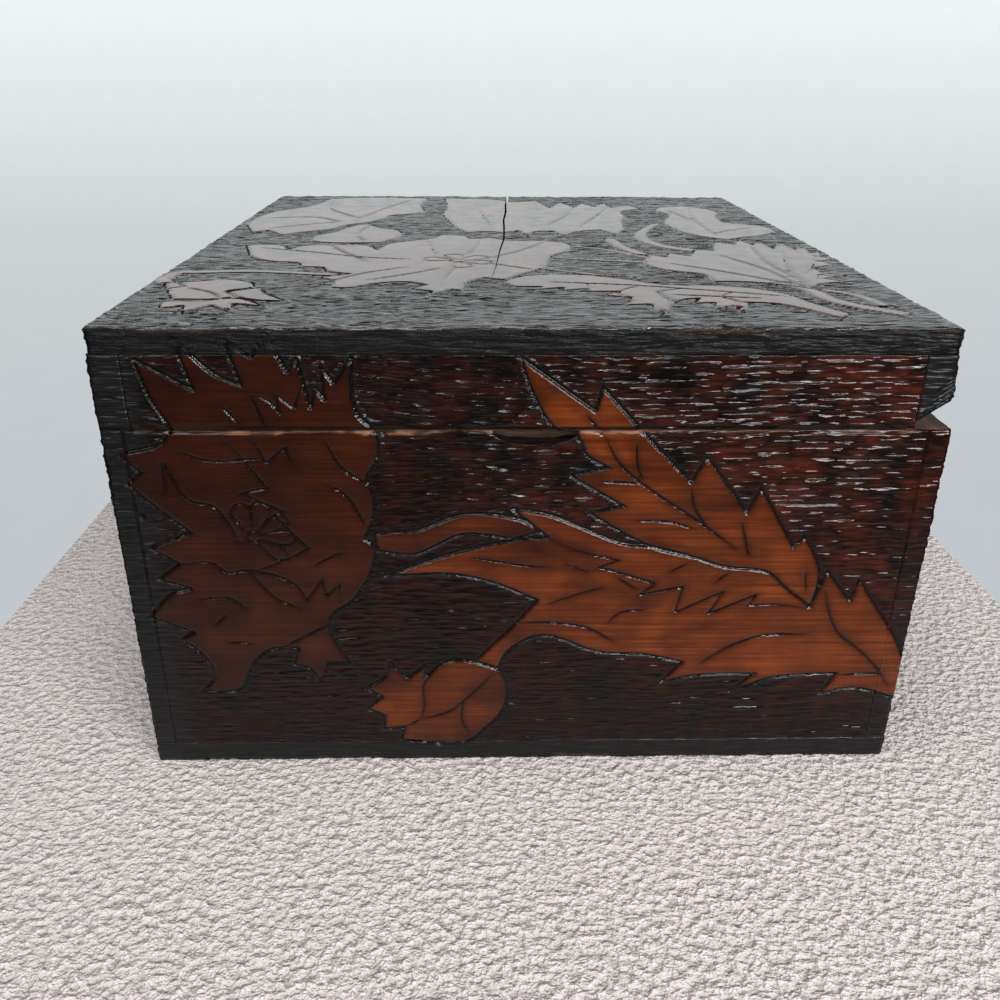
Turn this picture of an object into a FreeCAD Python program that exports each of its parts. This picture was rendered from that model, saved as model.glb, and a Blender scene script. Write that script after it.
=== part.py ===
import FreeCAD, Part
import math
import os
import Sketcher

# Pyrography keepsake box: a nailed wooden case, and a lid framed by rails that swings on two brass
# butt hinges. Millimetres, +Z up. The origin is the middle of the underside, and the front faces -Y.

doc = FreeCAD.newDocument("PyrographyBox")

# Driving dimensions, one cell each
SIZES = {
    # Outside of the closed box
    "outer_width": 210,
    "outer_depth": 246,
    "case_height": 101,
    "lid_rail_height": 19,
    # How far the lid's right side stands in from the case's
    "lid_setback": 2,
    # Boards
    "wall_thickness": 8,
    "bottom_thickness": 6.4,
    "top_thickness": 6.4,
    "corner_rebate": 2,
    "arris_bevel": 0.8,
    # Wear: a finger chip in the front's top edge
    "chip_centre": 1.6,
    "chip_half_width": 10.8,
    "chip_drop": 4,
    "chip_reach": 4.5,
    # Wear: the broken lower front corner of the lid's right rail
    "break_outer_height": 7.2,
    "break_inner_height": 1.8,
    "break_length": 38,
    "break_runout": 0.3,
    # Wear: the split in the top board, from its back edge to a tip
    "split_back_offset": 0.8,
    "split_bend_offset": -3.9,
    "split_bend_place": 2,
    "split_tip_offset": -9.1,
    "split_tip_place": -76,
    "split_back_gap": 0.9,
    "split_bend_gap": 0.6,
    # Hinges
    "hinge_inset": 47,
    "hinge_length": 25,
    "leaf_thickness": 0.8,
    "leaf_reach": 6.4,
    "pin_radius": 0.9,
    "pin_clearance": 0.05,
    "pin_head_radius": 1.4,
    "pin_head_thickness": 0.6,
    "knuckle_gap": 0.3,
    "gain_clearance": 0.1,
    # Screws
    "screw_spacing": 15,
    "screw_head_radius": 1.5,
    "screw_shank_radius": 0.85,
    "screw_length": 8,
    # Square cut brads
    "brad_side": 1.1,
    "brad_length": 20,
    "case_brad_margin": 14,
    "lid_brad_low": 9.6,
    "lid_brad_high": 15,
    "end_brad_margin": 30,
    "side_brad_margin": 43,
    "fastener_clearance": 0.02,
    # How far a cutter starts outside the surface that it cuts
    "cutter_overrun": 1,
}

sheet = doc.addObject("Spreadsheet::Sheet", "Sizes")
for row, (alias, value) in enumerate(SIZES.items(), start=1):
    sheet.set(f"A{row}", alias)
    sheet.set(f"B{row}", str(value))
    sheet.setAlias(f"B{row}", alias)
doc.recompute()

# Sizes that follow from the driving dimensions
HALF_WIDTH = "(Sizes.outer_width / 2)"
HALF_DEPTH = "(Sizes.outer_depth / 2)"
LID_WIDTH = "(Sizes.outer_width - Sizes.lid_setback)"
LID_RIGHT = f"({HALF_WIDTH} - Sizes.lid_setback)"
WALL_HEIGHT = "(Sizes.case_height - Sizes.bottom_thickness)"
LID_TOP_LEVEL = "(Sizes.case_height + Sizes.lid_rail_height)"
BOX_HEIGHT = f"({LID_TOP_LEVEL} + Sizes.top_thickness)"
CASE_LAP = "(Sizes.wall_thickness - Sizes.corner_rebate)"
PIN_BORE = "(Sizes.pin_radius + Sizes.pin_clearance)"
KNUCKLE_RADIUS = f"({PIN_BORE} + Sizes.leaf_thickness)"
AXIS_STANDOFF = f"({KNUCKLE_RADIUS} + Sizes.knuckle_gap)"
AXIS_DEPTH = f"({HALF_DEPTH} + {AXIS_STANDOFF})"
LEAF_DROP = f"({KNUCKLE_RADIUS} - Sizes.leaf_thickness)"
KNUCKLE_LENGTH = "((Sizes.hinge_length - 2 * Sizes.knuckle_gap) / 3)"
WALL_MIDDLE_Y = f"({HALF_DEPTH} - Sizes.wall_thickness / 2)"
WALL_MIDDLE_X = f"({HALF_WIDTH} - Sizes.wall_thickness / 2)"
LID_RIGHT_MIDDLE = f"({LID_RIGHT} - Sizes.wall_thickness / 2)"
SCREW_LINE_Y = f"({HALF_DEPTH} - Sizes.leaf_reach / 2)"

# Ways that a fastener can point, from its head at the local origin
DOWN = FreeCAD.Rotation()
UP = FreeCAD.Rotation(FreeCAD.Vector(1, 0, 0), 180)
RIGHTWARD = FreeCAD.Rotation(FreeCAD.Vector(0, 1, 0), -90)
LEFTWARD = FreeCAD.Rotation(FreeCAD.Vector(0, 1, 0), 90)

sub_parts = []


def origin_feature(body, role):
    """A plane or axis of the body's own origin."""
    return [feature for feature in body.Origin.OriginFeatures if feature.Role == role][0]


def place(thing, x, y, z):
    """Tie where a thing stands to the sheet."""
    thing.setExpression("Placement.Base.x", x)
    thing.setExpression("Placement.Base.y", y)
    thing.setExpression("Placement.Base.z", z)


def new_body(name, x, y, z, rotation=DOWN):
    body = doc.addObject("PartDesign::Body", name)
    body.Placement.Rotation = rotation
    place(body, x, y, z)
    return body


def new_sketch(body, name, role="XY_Plane", lift=None):
    """A sketch on one of the body's origin planes, raised along the plane's normal by an expression."""
    sketch = body.newObject("Sketcher::SketchObject", name)
    sketch.AttachmentSupport = (origin_feature(body, role), [""])
    sketch.MapMode = "FlatFace"
    if lift is not None:
        sketch.setExpression("AttachmentOffset.Base.z", lift)
    return sketch


def bind(sketch, kind, *where, value):
    """Add a dimension and tie it to an expression."""
    index = sketch.addConstraint(Sketcher.Constraint(kind, *where, 1.0))
    sketch.setExpression(f"Constraints[{index}]", value)


def draw_polygon(sketch, corners, guess):
    """Draw a closed outline whose corners are pairs of expressions; guess is a rough start for each."""
    first = sketch.GeometryCount
    count = len(corners)
    points = [FreeCAD.Vector(x, y, 0) for x, y in guess]
    for side in range(count):
        sketch.addGeometry(Part.LineSegment(points[side], points[(side + 1) % count]), False)
    for side in range(count):
        next_side = first + (side + 1) % count
        sketch.addConstraint(Sketcher.Constraint("Coincident", first + side, 2, next_side, 1))
    for side, (x, y) in enumerate(corners):
        bind(sketch, "DistanceX", -1, 1, first + side, 1, value=x)
        bind(sketch, "DistanceY", -1, 1, first + side, 1, value=y)


def draw_rectangle(sketch, x_low, y_low, x_high, y_high):
    corners = [(x_low, y_low), (x_high, y_low), (x_high, y_high), (x_low, y_high)]
    draw_polygon(sketch, corners, [(1, 1), (9, 1), (9, 9), (1, 9)])


def pad(body, sketch, length, reverse=False, symmetric=False):
    feature = body.newObject("PartDesign::Pad", sketch.Name + "_pad")
    feature.Profile = sketch
    feature.Reversed = reverse
    feature.setExpression("Length", length)
    if symmetric:
        feature.SideType = "Symmetric"
    doc.recompute()
    return feature


def cut_down(body, sketch, depth, reverse=False, symmetric=False):
    """Pocket a sketch into the body and make sure that it takes something away."""
    before = body.Shape.Volume
    feature = body.newObject("PartDesign::Pocket", sketch.Name + "_cut")
    feature.Profile = sketch
    feature.Reversed = reverse
    feature.setExpression("Length", depth)
    if symmetric:
        feature.SideType = "Symmetric"
    doc.recompute()
    if body.Shape.Volume >= before:
        raise RuntimeError(f"{feature.Name} removes nothing")
    return feature


def board(name, length_x, length_y, length_z, x, y, z):
    """A plain board: its plan outline, padded to its height, with its low corner at x, y, z."""
    body = new_body(name, x, y, z)
    sketch = new_sketch(body, name + "_outline")
    draw_rectangle(sketch, "0", "0", length_x, length_y)
    pad(body, sketch, length_z)
    return body


def ease_edges(body, wanted):
    """Bevel the arrises of the body's tip whose bounding box passes a test."""
    tip = body.Tip
    box = tip.Shape.BoundBox
    names = [f"Edge{i}" for i, edge in enumerate(tip.Shape.Edges, start=1) if wanted(edge.BoundBox, box)]
    feature = body.newObject("PartDesign::Chamfer", body.Name + "_eased")
    feature.Base = (tip, names)
    feature.setExpression("Size", "Sizes.arris_bevel")
    doc.recompute()


SAME_PLACE = 1e-6


def near(first, second):
    return abs(first - second) < SAME_PLACE


def upright(edge):
    return near(edge.XMin, edge.XMax) and near(edge.YMin, edge.YMax)


def outer_left(edge, box):
    return upright(edge) and near(edge.XMin, box.XMin)


def outer_right(edge, box):
    return upright(edge) and near(edge.XMin, box.XMax)


def any_corner_or_base(edge, box):
    return upright(edge) or near(edge.ZMax, box.ZMin)


def any_edge(edge, box):
    return True


def copies(name, master, spots):
    """A group of copies of one fastener; each spot is x, y, z expressions and the way it points."""
    links = []
    for index, (x, y, z, rotation) in enumerate(spots, start=1):
        link = doc.addObject("App::Link", f"{name}_{index}")
        link.LinkedObject = master
        link.Placement.Rotation = rotation
        place(link, x, y, z)
        links.append(link)
    group = doc.addObject("Part::Compound", name)
    group.Links = links
    return group


def keep(thing, label):
    """Name a finished sub-part; its label is its file's name."""
    thing.Label = label
    sub_parts.append(thing)
    return thing


def drilled(label, body, hole_groups):
    """A finished piece: the body with the holes of its fasteners cut out."""
    cutters = hole_groups[0]
    if len(hole_groups) > 1:
        cutters = doc.addObject("Part::Compound", label + "_holes")
        cutters.Links = hole_groups
    cut = doc.addObject("Part::Cut", label + "_drilled")
    cut.Base = body
    cut.Tool = cutters
    return keep(cut, label)


# Fasteners: one master of each kind, with its head at the local origin and its shank along -Z
def brad_master(name, grow, start):
    """A headless square brad, or its hole: grow is the hole's clearance, start how far above it begins."""
    body = new_body(name, "0", "0", "0")
    sketch = new_sketch(body, name + "_section", lift=start)
    half = f"(Sizes.brad_side / 2 + {grow})"
    draw_rectangle(sketch, f"-{half}", f"-{half}", half, half)
    pad(body, sketch, f"Sizes.brad_length + {grow} + {start}", reverse=True)
    return body


def screw_master(name, grow):
    """A countersunk head on a plain shank, or the hole for one."""
    head = f"Sizes.screw_head_radius + {grow}"
    shank = f"Sizes.screw_shank_radius + {grow}"
    seat = "Sizes.screw_shank_radius - Sizes.screw_head_radius"
    tip = f"-Sizes.screw_length - {grow}"
    body = new_body(name, "0", "0", "0")
    sketch = new_sketch(body, name + "_profile", role="XZ_Plane")
    outline = [("0", tip), (shank, tip), (shank, seat), (head, "0"), ("0", "0")]
    draw_polygon(sketch, outline, [(0, -9), (1, -9), (1, -1), (2, 0), (0, 0)])
    feature = body.newObject("PartDesign::Revolution", name + "_turn")
    feature.Profile = sketch
    feature.ReferenceAxis = (sketch, ["V_Axis"])
    doc.recompute()
    return body


brad = brad_master("brad_master", "0", "0")
brad_hole = brad_master("brad_hole_master", "Sizes.fastener_clearance", "Sizes.cutter_overrun")
screw = screw_master("screw_master", "0")
screw_hole = screw_master("screw_hole_master", "Sizes.fastener_clearance")


# Where the fasteners go
def corner_spots(levels, right_face):
    """Brads through the side boards into the ends of the front and back boards, split by end."""
    ends = {"front": [], "back": [], "left": [], "right": []}
    for end, y in (("front", f"-{WALL_MIDDLE_Y}"), ("back", WALL_MIDDLE_Y)):
        for side, x, way in (("left", f"-{HALF_WIDTH}", RIGHTWARD), ("right", right_face, LEFTWARD)):
            for level in levels:
                ends[end].append((x, y, level, way))
                ends[side].append((x, y, level, way))
    return ends


def edge_spots(level, way, right_middle):
    """Brads through a flat board into the four boards along its edges, split by board."""
    across = [f"((Sizes.outer_width - 2 * Sizes.end_brad_margin) * {step} / 6)" for step in (-3, -1, 1, 3)]
    along = [f"((Sizes.outer_depth - 2 * Sizes.side_brad_margin) * {step} / 2)" for step in (-1, 0, 1)]
    return {
        "front": [(x, f"-{WALL_MIDDLE_Y}", level, way) for x in across],
        "back": [(x, WALL_MIDDLE_Y, level, way) for x in across],
        "left": [(f"-{WALL_MIDDLE_X}", y, level, way) for y in along],
        "right": [(right_middle, y, level, way) for y in along],
    }


def hinge_screw_spots(hinge_x, level, way):
    places = [f"({hinge_x} + {step} * Sizes.screw_spacing / 2)" for step in (-1, 1)]
    return [(x, SCREW_LINE_Y, level, way) for x in places]


HINGES = {"left": f"(Sizes.hinge_inset - {HALF_WIDTH})", "right": f"({HALF_WIDTH} - Sizes.hinge_inset)"}
CASE_LEAF_LEVEL = f"(Sizes.case_height - {LEAF_DROP})"
LID_LEAF_LEVEL = f"(Sizes.case_height + {LEAF_DROP})"
case_brad_levels = [
    f"(Sizes.bottom_thickness + Sizes.case_brad_margin"
    f" + ({WALL_HEIGHT} - 2 * Sizes.case_brad_margin) * {step} / 2)"
    for step in (0, 1, 2)
]
lid_brad_levels = ["(Sizes.case_height + Sizes.lid_brad_low)", "(Sizes.case_height + Sizes.lid_brad_high)"]

case_corners = corner_spots(case_brad_levels, HALF_WIDTH)
lid_corners = corner_spots(lid_brad_levels, LID_RIGHT)
bottom_edges = edge_spots("0", UP, WALL_MIDDLE_X)
top_edges = edge_spots(BOX_HEIGHT, DOWN, LID_RIGHT_MIDDLE)
case_screws = {side: hinge_screw_spots(x, CASE_LEAF_LEVEL, DOWN) for side, x in HINGES.items()}
lid_screws = {side: hinge_screw_spots(x, LID_LEAF_LEVEL, UP) for side, x in HINGES.items()}


def all_of(spots, *names):
    return [spot for name in names for spot in spots[name]]


ENDS = ("front", "back")
EDGES = ("front", "back", "left", "right")
keep(copies("case_brads", brad, all_of(case_corners, *ENDS)), "case_corner_brads")
keep(copies("bottom_brads", brad, all_of(bottom_edges, *EDGES)), "bottom_board_brads")
keep(copies("lid_brads", brad, all_of(lid_corners, *ENDS)), "lid_corner_brads")
keep(copies("top_brads", brad, all_of(top_edges, *EDGES)), "lid_top_brads")
keep(copies("case_screws", screw, all_of(case_screws, *HINGES)), "case_hinge_screws")
keep(copies("lid_screws", screw, all_of(lid_screws, *HINGES)), "lid_hinge_screws")


def holes(name, *spot_lists):
    """Hole cutters for brads at these spots."""
    return copies(name, brad_hole, [spot for spots in spot_lists for spot in spots])


# Bottom board: the full outline of the box, under the walls
bottom = board("bottom_board", "Sizes.outer_width", "Sizes.outer_depth", "Sizes.bottom_thickness",
               f"-{HALF_WIDTH}", f"-{HALF_DEPTH}", "0")
ease_edges(bottom, any_corner_or_base)
drilled("case_bottom_board", bottom, [holes("bottom_holes", all_of(bottom_edges, *EDGES))])


# Side panels: full depth, rebated at both ends for the front and back panels
def side_panel(side, x, rebate_low, rebate_high, outer_edge):
    body = board(side + "_panel", "Sizes.wall_thickness", "Sizes.outer_depth", WALL_HEIGHT,
                 x, f"-{HALF_DEPTH}", "Sizes.bottom_thickness")
    rebates = new_sketch(body, side + "_rebates")
    draw_rectangle(rebates, rebate_low, "-Sizes.cutter_overrun", rebate_high, "Sizes.wall_thickness")
    draw_rectangle(rebates, rebate_low, "Sizes.outer_depth - Sizes.wall_thickness",
                   rebate_high, "Sizes.outer_depth + Sizes.cutter_overrun")
    cut_down(body, rebates, WALL_HEIGHT, reverse=True)
    ease_edges(body, outer_edge)
    brad_holes = holes(side + "_panel_holes", case_corners[side], bottom_edges[side])
    drilled(f"case_{side}_panel", body, [brad_holes])


side_panel("left", f"-{HALF_WIDTH}", CASE_LAP, "Sizes.wall_thickness + Sizes.cutter_overrun", outer_left)
side_panel("right", f"{HALF_WIDTH} - Sizes.wall_thickness", "-Sizes.cutter_overrun", "Sizes.corner_rebate",
           outer_right)

# Front and back panels: seated in the side panels' rebates
PANEL_LENGTH = f"(Sizes.outer_width - 2 * {CASE_LAP})"
PANEL_LEFT = f"({CASE_LAP} - {HALF_WIDTH})"


def end_panel(end, y):
    return board(end + "_panel", PANEL_LENGTH, "Sizes.wall_thickness", WALL_HEIGHT,
                 PANEL_LEFT, y, "Sizes.bottom_thickness")


front_panel = end_panel("front", f"-{HALF_DEPTH}")
finger_chip = front_panel.newObject("PartDesign::SubtractiveEllipsoid", "finger_chip")
finger_chip.setExpression("Radius1", "Sizes.chip_drop")
finger_chip.setExpression("Radius2", "Sizes.chip_half_width")
finger_chip.setExpression("Radius3", "Sizes.chip_reach")
place(finger_chip, f"{PANEL_LENGTH} / 2 + Sizes.chip_centre", "0", WALL_HEIGHT)
doc.recompute()
drilled("case_front_panel", front_panel,
        [holes("front_panel_holes", case_corners["front"], bottom_edges["front"])])


# Hinge gains: seats as deep as the knuckle's radius, open at the back face
def cut_gains(body, body_left, level, reverse):
    gains = new_sketch(body, body.Name + "_gains", lift=level)
    for x in HINGES.values():
        middle = f"({x} - {body_left})"
        half = "(Sizes.hinge_length / 2 + Sizes.gain_clearance)"
        draw_rectangle(gains, f"{middle} - {half}",
                       "Sizes.wall_thickness - Sizes.leaf_reach - Sizes.gain_clearance",
                       f"{middle} + {half}", "Sizes.wall_thickness + Sizes.cutter_overrun")
    cut_down(body, gains, KNUCKLE_RADIUS, reverse=reverse)


back_panel = end_panel("back", f"{HALF_DEPTH} - Sizes.wall_thickness")
cut_gains(back_panel, PANEL_LEFT, WALL_HEIGHT, reverse=False)
drilled("case_back_panel", back_panel, [
    holes("back_panel_holes", case_corners["back"], bottom_edges["back"]),
    copies("back_panel_screw_holes", screw_hole, all_of(case_screws, *HINGES)),
])


# Lid side rails: full depth, on edge under the top board
def side_rail(side, x, outer_edge):
    body = board(side + "_rail", "Sizes.wall_thickness", "Sizes.outer_depth", "Sizes.lid_rail_height",
                 x, f"-{HALF_DEPTH}", "Sizes.case_height")
    ease_edges(body, outer_edge)
    return body


def finish_side_rail(side, body):
    drilled(f"lid_{side}_rail", body, [holes(side + "_rail_holes", lid_corners[side], top_edges[side])])


finish_side_rail("left", side_rail("left", f"-{HALF_WIDTH}", outer_left))


# The right rail's lower front corner has split away: a loft that runs out along the grain
def break_section(body, name, inner, outer, lift):
    sketch = new_sketch(body, name, role="XZ_Plane", lift=lift)
    below = "-Sizes.cutter_overrun"
    outside = "Sizes.wall_thickness + Sizes.cutter_overrun"
    inside = "-Sizes.cutter_overrun"
    slope = f"(({outer}) - ({inner})) / Sizes.wall_thickness * Sizes.cutter_overrun"
    draw_polygon(sketch, [
        (inside, below), (outside, below),
        (outside, f"{outer} + {slope}"), (inside, f"{inner} - {slope}"),
    ], [(0, -1), (9, -1), (9, 7), (0, 2)])
    return sketch


right_rail = side_rail("right", f"{LID_RIGHT} - Sizes.wall_thickness", outer_right)
volume_before = right_rail.Shape.Volume
near_section = break_section(right_rail, "break_at_front", "Sizes.break_inner_height",
                             "Sizes.break_outer_height", "Sizes.cutter_overrun")
far_section = break_section(right_rail, "break_at_runout", "-Sizes.break_runout", "Sizes.break_runout",
                            "-Sizes.break_length")
corner_break = right_rail.newObject("PartDesign::SubtractiveLoft", "corner_break")
corner_break.Profile = near_section
corner_break.Sections = [far_section]
corner_break.Ruled = True
doc.recompute()
if right_rail.Shape.Volume >= volume_before:
    raise RuntimeError("the broken corner removes nothing")
finish_side_rail("right", right_rail)

# Lid front and back rails: butted between the side rails
RAIL_LENGTH = f"({LID_WIDTH} - 2 * Sizes.wall_thickness)"
RAIL_LEFT = f"(Sizes.wall_thickness - {HALF_WIDTH})"


def end_rail(end, y):
    return board(end + "_rail", RAIL_LENGTH, "Sizes.wall_thickness", "Sizes.lid_rail_height",
                 RAIL_LEFT, y, "Sizes.case_height")


drilled("lid_front_rail", end_rail("front", f"-{HALF_DEPTH}"),
        [holes("front_rail_holes", lid_corners["front"], top_edges["front"])])

back_rail = end_rail("back", f"{HALF_DEPTH} - Sizes.wall_thickness")
cut_gains(back_rail, RAIL_LEFT, "0", reverse=True)
drilled("lid_back_rail", back_rail, [
    holes("back_rail_holes", lid_corners["back"], top_edges["back"]),
    copies("back_rail_screw_holes", screw_hole, all_of(lid_screws, *HINGES)),
])

# Top board: eased all round, and split along the grain from its back edge
top = board("top_board", LID_WIDTH, "Sizes.outer_depth", "Sizes.top_thickness",
            f"-{HALF_WIDTH}", f"-{HALF_DEPTH}", LID_TOP_LEVEL)
ease_edges(top, any_edge)


def across_top(offset):
    return f"{HALF_WIDTH} + {offset}"


split_start = "Sizes.outer_depth + Sizes.cutter_overrun"
split_bend = f"{HALF_DEPTH} + Sizes.split_bend_place"
split_tip = f"{HALF_DEPTH} + Sizes.split_tip_place"
split = new_sketch(top, "split_outline")
draw_polygon(split, [
    (across_top("Sizes.split_back_offset - Sizes.split_back_gap / 2"), split_start),
    (across_top("Sizes.split_bend_offset - Sizes.split_bend_gap / 2"), split_bend),
    (across_top("Sizes.split_tip_offset"), split_tip),
    (across_top("Sizes.split_bend_offset + Sizes.split_bend_gap / 2"), split_bend),
    (across_top("Sizes.split_back_offset + Sizes.split_back_gap / 2"), split_start),
], [(105, 247), (101, 125), (96, 47), (102, 125), (106, 247)])
cut_down(top, split, "Sizes.top_thickness", reverse=True)
drilled("lid_top_board", top, [holes("top_board_holes", all_of(top_edges, *EDGES))])


# Hinge leaves: sheet rolled round the pin, drawn with the pin's axis at the local origin
def draw_leaf_profile(sketch):
    """The flat of the leaf, tangent to the roll round the pin, and the pin's bore."""
    # A rough start for the sketch; the dimensions below then set the true shape
    centre = FreeCAD.Vector(0, 0, 0)
    normal = FreeCAD.Vector(0, 0, 1)
    low_end = FreeCAD.Vector(-8, -1.7, 0)
    high_end = FreeCAD.Vector(-8, -0.9, 0)
    roll_start = FreeCAD.Vector(0, -1.7, 0)
    roll_end = FreeCAD.Vector(-1.4, -0.9, 0)
    roll_angles = (math.radians(-90), math.radians(213))
    sketch.addGeometry(Part.LineSegment(low_end, roll_start), False)
    sketch.addGeometry(Part.ArcOfCircle(Part.Circle(centre, normal, roll_start.Length), *roll_angles), False)
    sketch.addGeometry(Part.LineSegment(roll_end, high_end), False)
    sketch.addGeometry(Part.LineSegment(high_end, low_end), False)
    sketch.addGeometry(Part.Circle(centre, normal, roll_start.Length / 2), False)
    underside, rolled, topside, inner_end, bore = range(5)
    for joint in (
        ("Coincident", underside, 2, rolled, 1),
        ("Coincident", rolled, 2, topside, 1),
        ("Coincident", topside, 2, inner_end, 1),
        ("Coincident", inner_end, 2, underside, 1),
        ("Coincident", rolled, 3, -1, 1),
        ("Coincident", bore, 3, -1, 1),
        ("Horizontal", underside),
        ("Horizontal", topside),
        ("Vertical", inner_end),
        ("PointOnObject", underside, 2, -2),
    ):
        sketch.addConstraint(Sketcher.Constraint(*joint))
    bind(sketch, "Radius", rolled, value=KNUCKLE_RADIUS)
    bind(sketch, "Radius", bore, value=PIN_BORE)
    bind(sketch, "DistanceX", underside, 1, underside, 2, value=f"Sizes.leaf_reach + {AXIS_STANDOFF}")
    bind(sketch, "DistanceY", inner_end, 2, inner_end, 1, value="Sizes.leaf_thickness")


def hinge_leaf(name, hinge_x, rotation, notch_spans):
    """A leaf at rest; it is notched back to the box where the other leaf's knuckles run."""
    body = new_body(name, hinge_x, AXIS_DEPTH, "Sizes.case_height", rotation)
    profile = new_sketch(body, name + "_profile", role="YZ_Plane")
    draw_leaf_profile(profile)
    pad(body, profile, "Sizes.hinge_length", symmetric=True)
    notches = new_sketch(body, name + "_notches")
    clear_of_roll = f"{KNUCKLE_RADIUS} + Sizes.cutter_overrun"
    for low, high in notch_spans:
        draw_rectangle(notches, low, f"-{AXIS_STANDOFF}", high, clear_of_roll)
    cut_down(body, notches, f"4 * {KNUCKLE_RADIUS}", symmetric=True)
    return body


MIDDLE_KNUCKLE = f"({KNUCKLE_LENGTH} / 2)"
MIDDLE_NOTCH = f"({KNUCKLE_LENGTH} / 2 + Sizes.knuckle_gap)"
PAST_END = "(Sizes.hinge_length / 2 + Sizes.cutter_overrun)"
CASE_NOTCHES = [(f"-{MIDDLE_NOTCH}", MIDDLE_NOTCH)]
LID_NOTCHES = [(f"-{PAST_END}", f"-{MIDDLE_KNUCKLE}"), (MIDDLE_KNUCKLE, PAST_END)]
TURNED_OVER = FreeCAD.Rotation(FreeCAD.Vector(0, 1, 0), 180)


def hinge_pin(name, hinge_x):
    """A pin with a peened head against each end of the barrel."""
    body = new_body(name, hinge_x, AXIS_DEPTH, "Sizes.case_height")
    sketch = new_sketch(body, name + "_profile")
    seat = "(Sizes.hinge_length / 2 + Sizes.pin_clearance)"
    end = f"({seat} + Sizes.pin_head_thickness)"
    draw_polygon(sketch, [
        (f"-{end}", "0"), (end, "0"), (end, "Sizes.pin_radius"), (seat, "Sizes.pin_head_radius"),
        (seat, "Sizes.pin_radius"), (f"-{seat}", "Sizes.pin_radius"),
        (f"-{seat}", "Sizes.pin_head_radius"), (f"-{end}", "Sizes.pin_radius"),
    ], [(-13, 0), (13, 0), (13, 1), (12.5, 1.4), (12.5, 0.9), (-12.5, 0.9), (-12.5, 1.4), (-13, 1)])
    feature = body.newObject("PartDesign::Revolution", name + "_turn")
    feature.Profile = sketch
    feature.ReferenceAxis = (sketch, ["H_Axis"])
    doc.recompute()
    keep(body, name)


for side, hinge_x in HINGES.items():
    case_leaf = hinge_leaf(f"{side}_case_leaf", hinge_x, DOWN, CASE_NOTCHES)
    lid_leaf = hinge_leaf(f"{side}_lid_leaf", hinge_x, TURNED_OVER, LID_NOTCHES)
    drilled(f"{side}_hinge_case_leaf", case_leaf,
            [copies(f"{side}_case_leaf_holes", screw_hole, case_screws[side])])
    drilled(f"{side}_hinge_lid_leaf", lid_leaf,
            [copies(f"{side}_lid_leaf_holes", screw_hole, lid_screws[side])])
    hinge_pin(f"{side}_hinge_pin", hinge_x)

# Everything has to be sound before anything is written
doc.recompute()
for thing in doc.Objects:
    if "Invalid" in thing.State or "Error" in thing.State:
        raise RuntimeError(f"{thing.Name} failed: {thing.State}")
for thing in sub_parts:
    if thing.Shape.isNull() or not thing.Shape.isValid() or not thing.Shape.Solids:
        raise RuntimeError(f"{thing.Label} has no valid solid")

os.makedirs("parts", exist_ok=True)
for thing in sub_parts:
    thing.Shape.exportStep(f"parts/{thing.Label}.step")
    print(f"{thing.Label}: {len(thing.Shape.Solids)} solids, {thing.Shape.Volume:.1f} mm3")
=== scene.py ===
"""A hinged wooden box, carved and burnt all over with leaves and blossoms, dressed over its CAD frame.

Lengths in the script are millimetres until a mesh is made, and colours are linear.
"""
import math
import bmesh
import bpy
import numpy as np
from mathutils import Matrix, Vector


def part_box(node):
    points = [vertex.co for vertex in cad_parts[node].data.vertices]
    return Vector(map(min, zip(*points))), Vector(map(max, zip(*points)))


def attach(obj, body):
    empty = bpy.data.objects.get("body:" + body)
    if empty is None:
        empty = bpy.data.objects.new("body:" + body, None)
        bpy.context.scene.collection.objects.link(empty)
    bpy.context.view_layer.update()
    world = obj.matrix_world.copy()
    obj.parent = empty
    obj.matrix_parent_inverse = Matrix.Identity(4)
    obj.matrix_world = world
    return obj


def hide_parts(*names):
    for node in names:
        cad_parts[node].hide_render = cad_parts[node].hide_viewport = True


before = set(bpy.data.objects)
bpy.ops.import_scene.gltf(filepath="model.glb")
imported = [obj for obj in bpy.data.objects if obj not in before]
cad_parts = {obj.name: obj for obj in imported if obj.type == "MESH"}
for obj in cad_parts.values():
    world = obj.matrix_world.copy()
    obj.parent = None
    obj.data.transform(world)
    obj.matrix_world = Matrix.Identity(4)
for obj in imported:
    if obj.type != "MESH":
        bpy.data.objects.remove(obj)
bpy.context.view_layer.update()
MM = 0.001


def corners(node):
    """Lowest and highest corner of a CAD node, in millimetres."""
    low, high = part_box(node)
    return np.array(low) / MM, np.array(high) / MM


def body_of(node):
    """The body that a CAD node of wood, a brad or a screw belongs to."""
    return "lid" if node.startswith("lid") else "case"


def add(name, data, *looks):
    """A new object in the scene, with these materials."""
    for look in looks:
        data.materials.append(look)
    made = bpy.data.objects.new(name, data)
    bpy.context.scene.collection.objects.link(made)
    return made


def stand_for(piece, node):
    """Show a piece in place of a CAD node, riding on the same body."""
    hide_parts(node)
    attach(piece, body_of(node))


# The box's outside, read from the CAD boards
CASE_LOW, CASE_HIGH = corners("case_bottom_board")
LID_LOW, LID_HIGH = corners("lid_top_board")
OUTSIDE = {"case": (CASE_LOW, CASE_HIGH), "lid": (LID_LOW, LID_HIGH)}
HALF_WIDTH, HALF_DEPTH = CASE_HIGH[:2]
HEIGHT = LID_HIGH[2]
TOP_UNDERSIDE = LID_LOW[2]
SEAM = corners("case_front_panel")[1][2]
CASE_JOINT = corners("case_front_panel")[1][0]
LID_LEFT_JOINT, LID_RIGHT_JOINT = (end[0] for end in corners("lid_front_rail"))
# Points this near to a level lie on it
TOUCH = 0.01

# Each outside face: the axis and sign its u runs along, the axis of its v, the axis and sign it looks along
FACES = {
    "front": (0, 1, 2, 1, -1),
    "right": (1, 1, 2, 0, 1),
    "back": (0, -1, 2, 1, 1),
    "left": (1, -1, 2, 0, -1),
    "top": (0, 1, 1, 2, 1),
}


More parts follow.
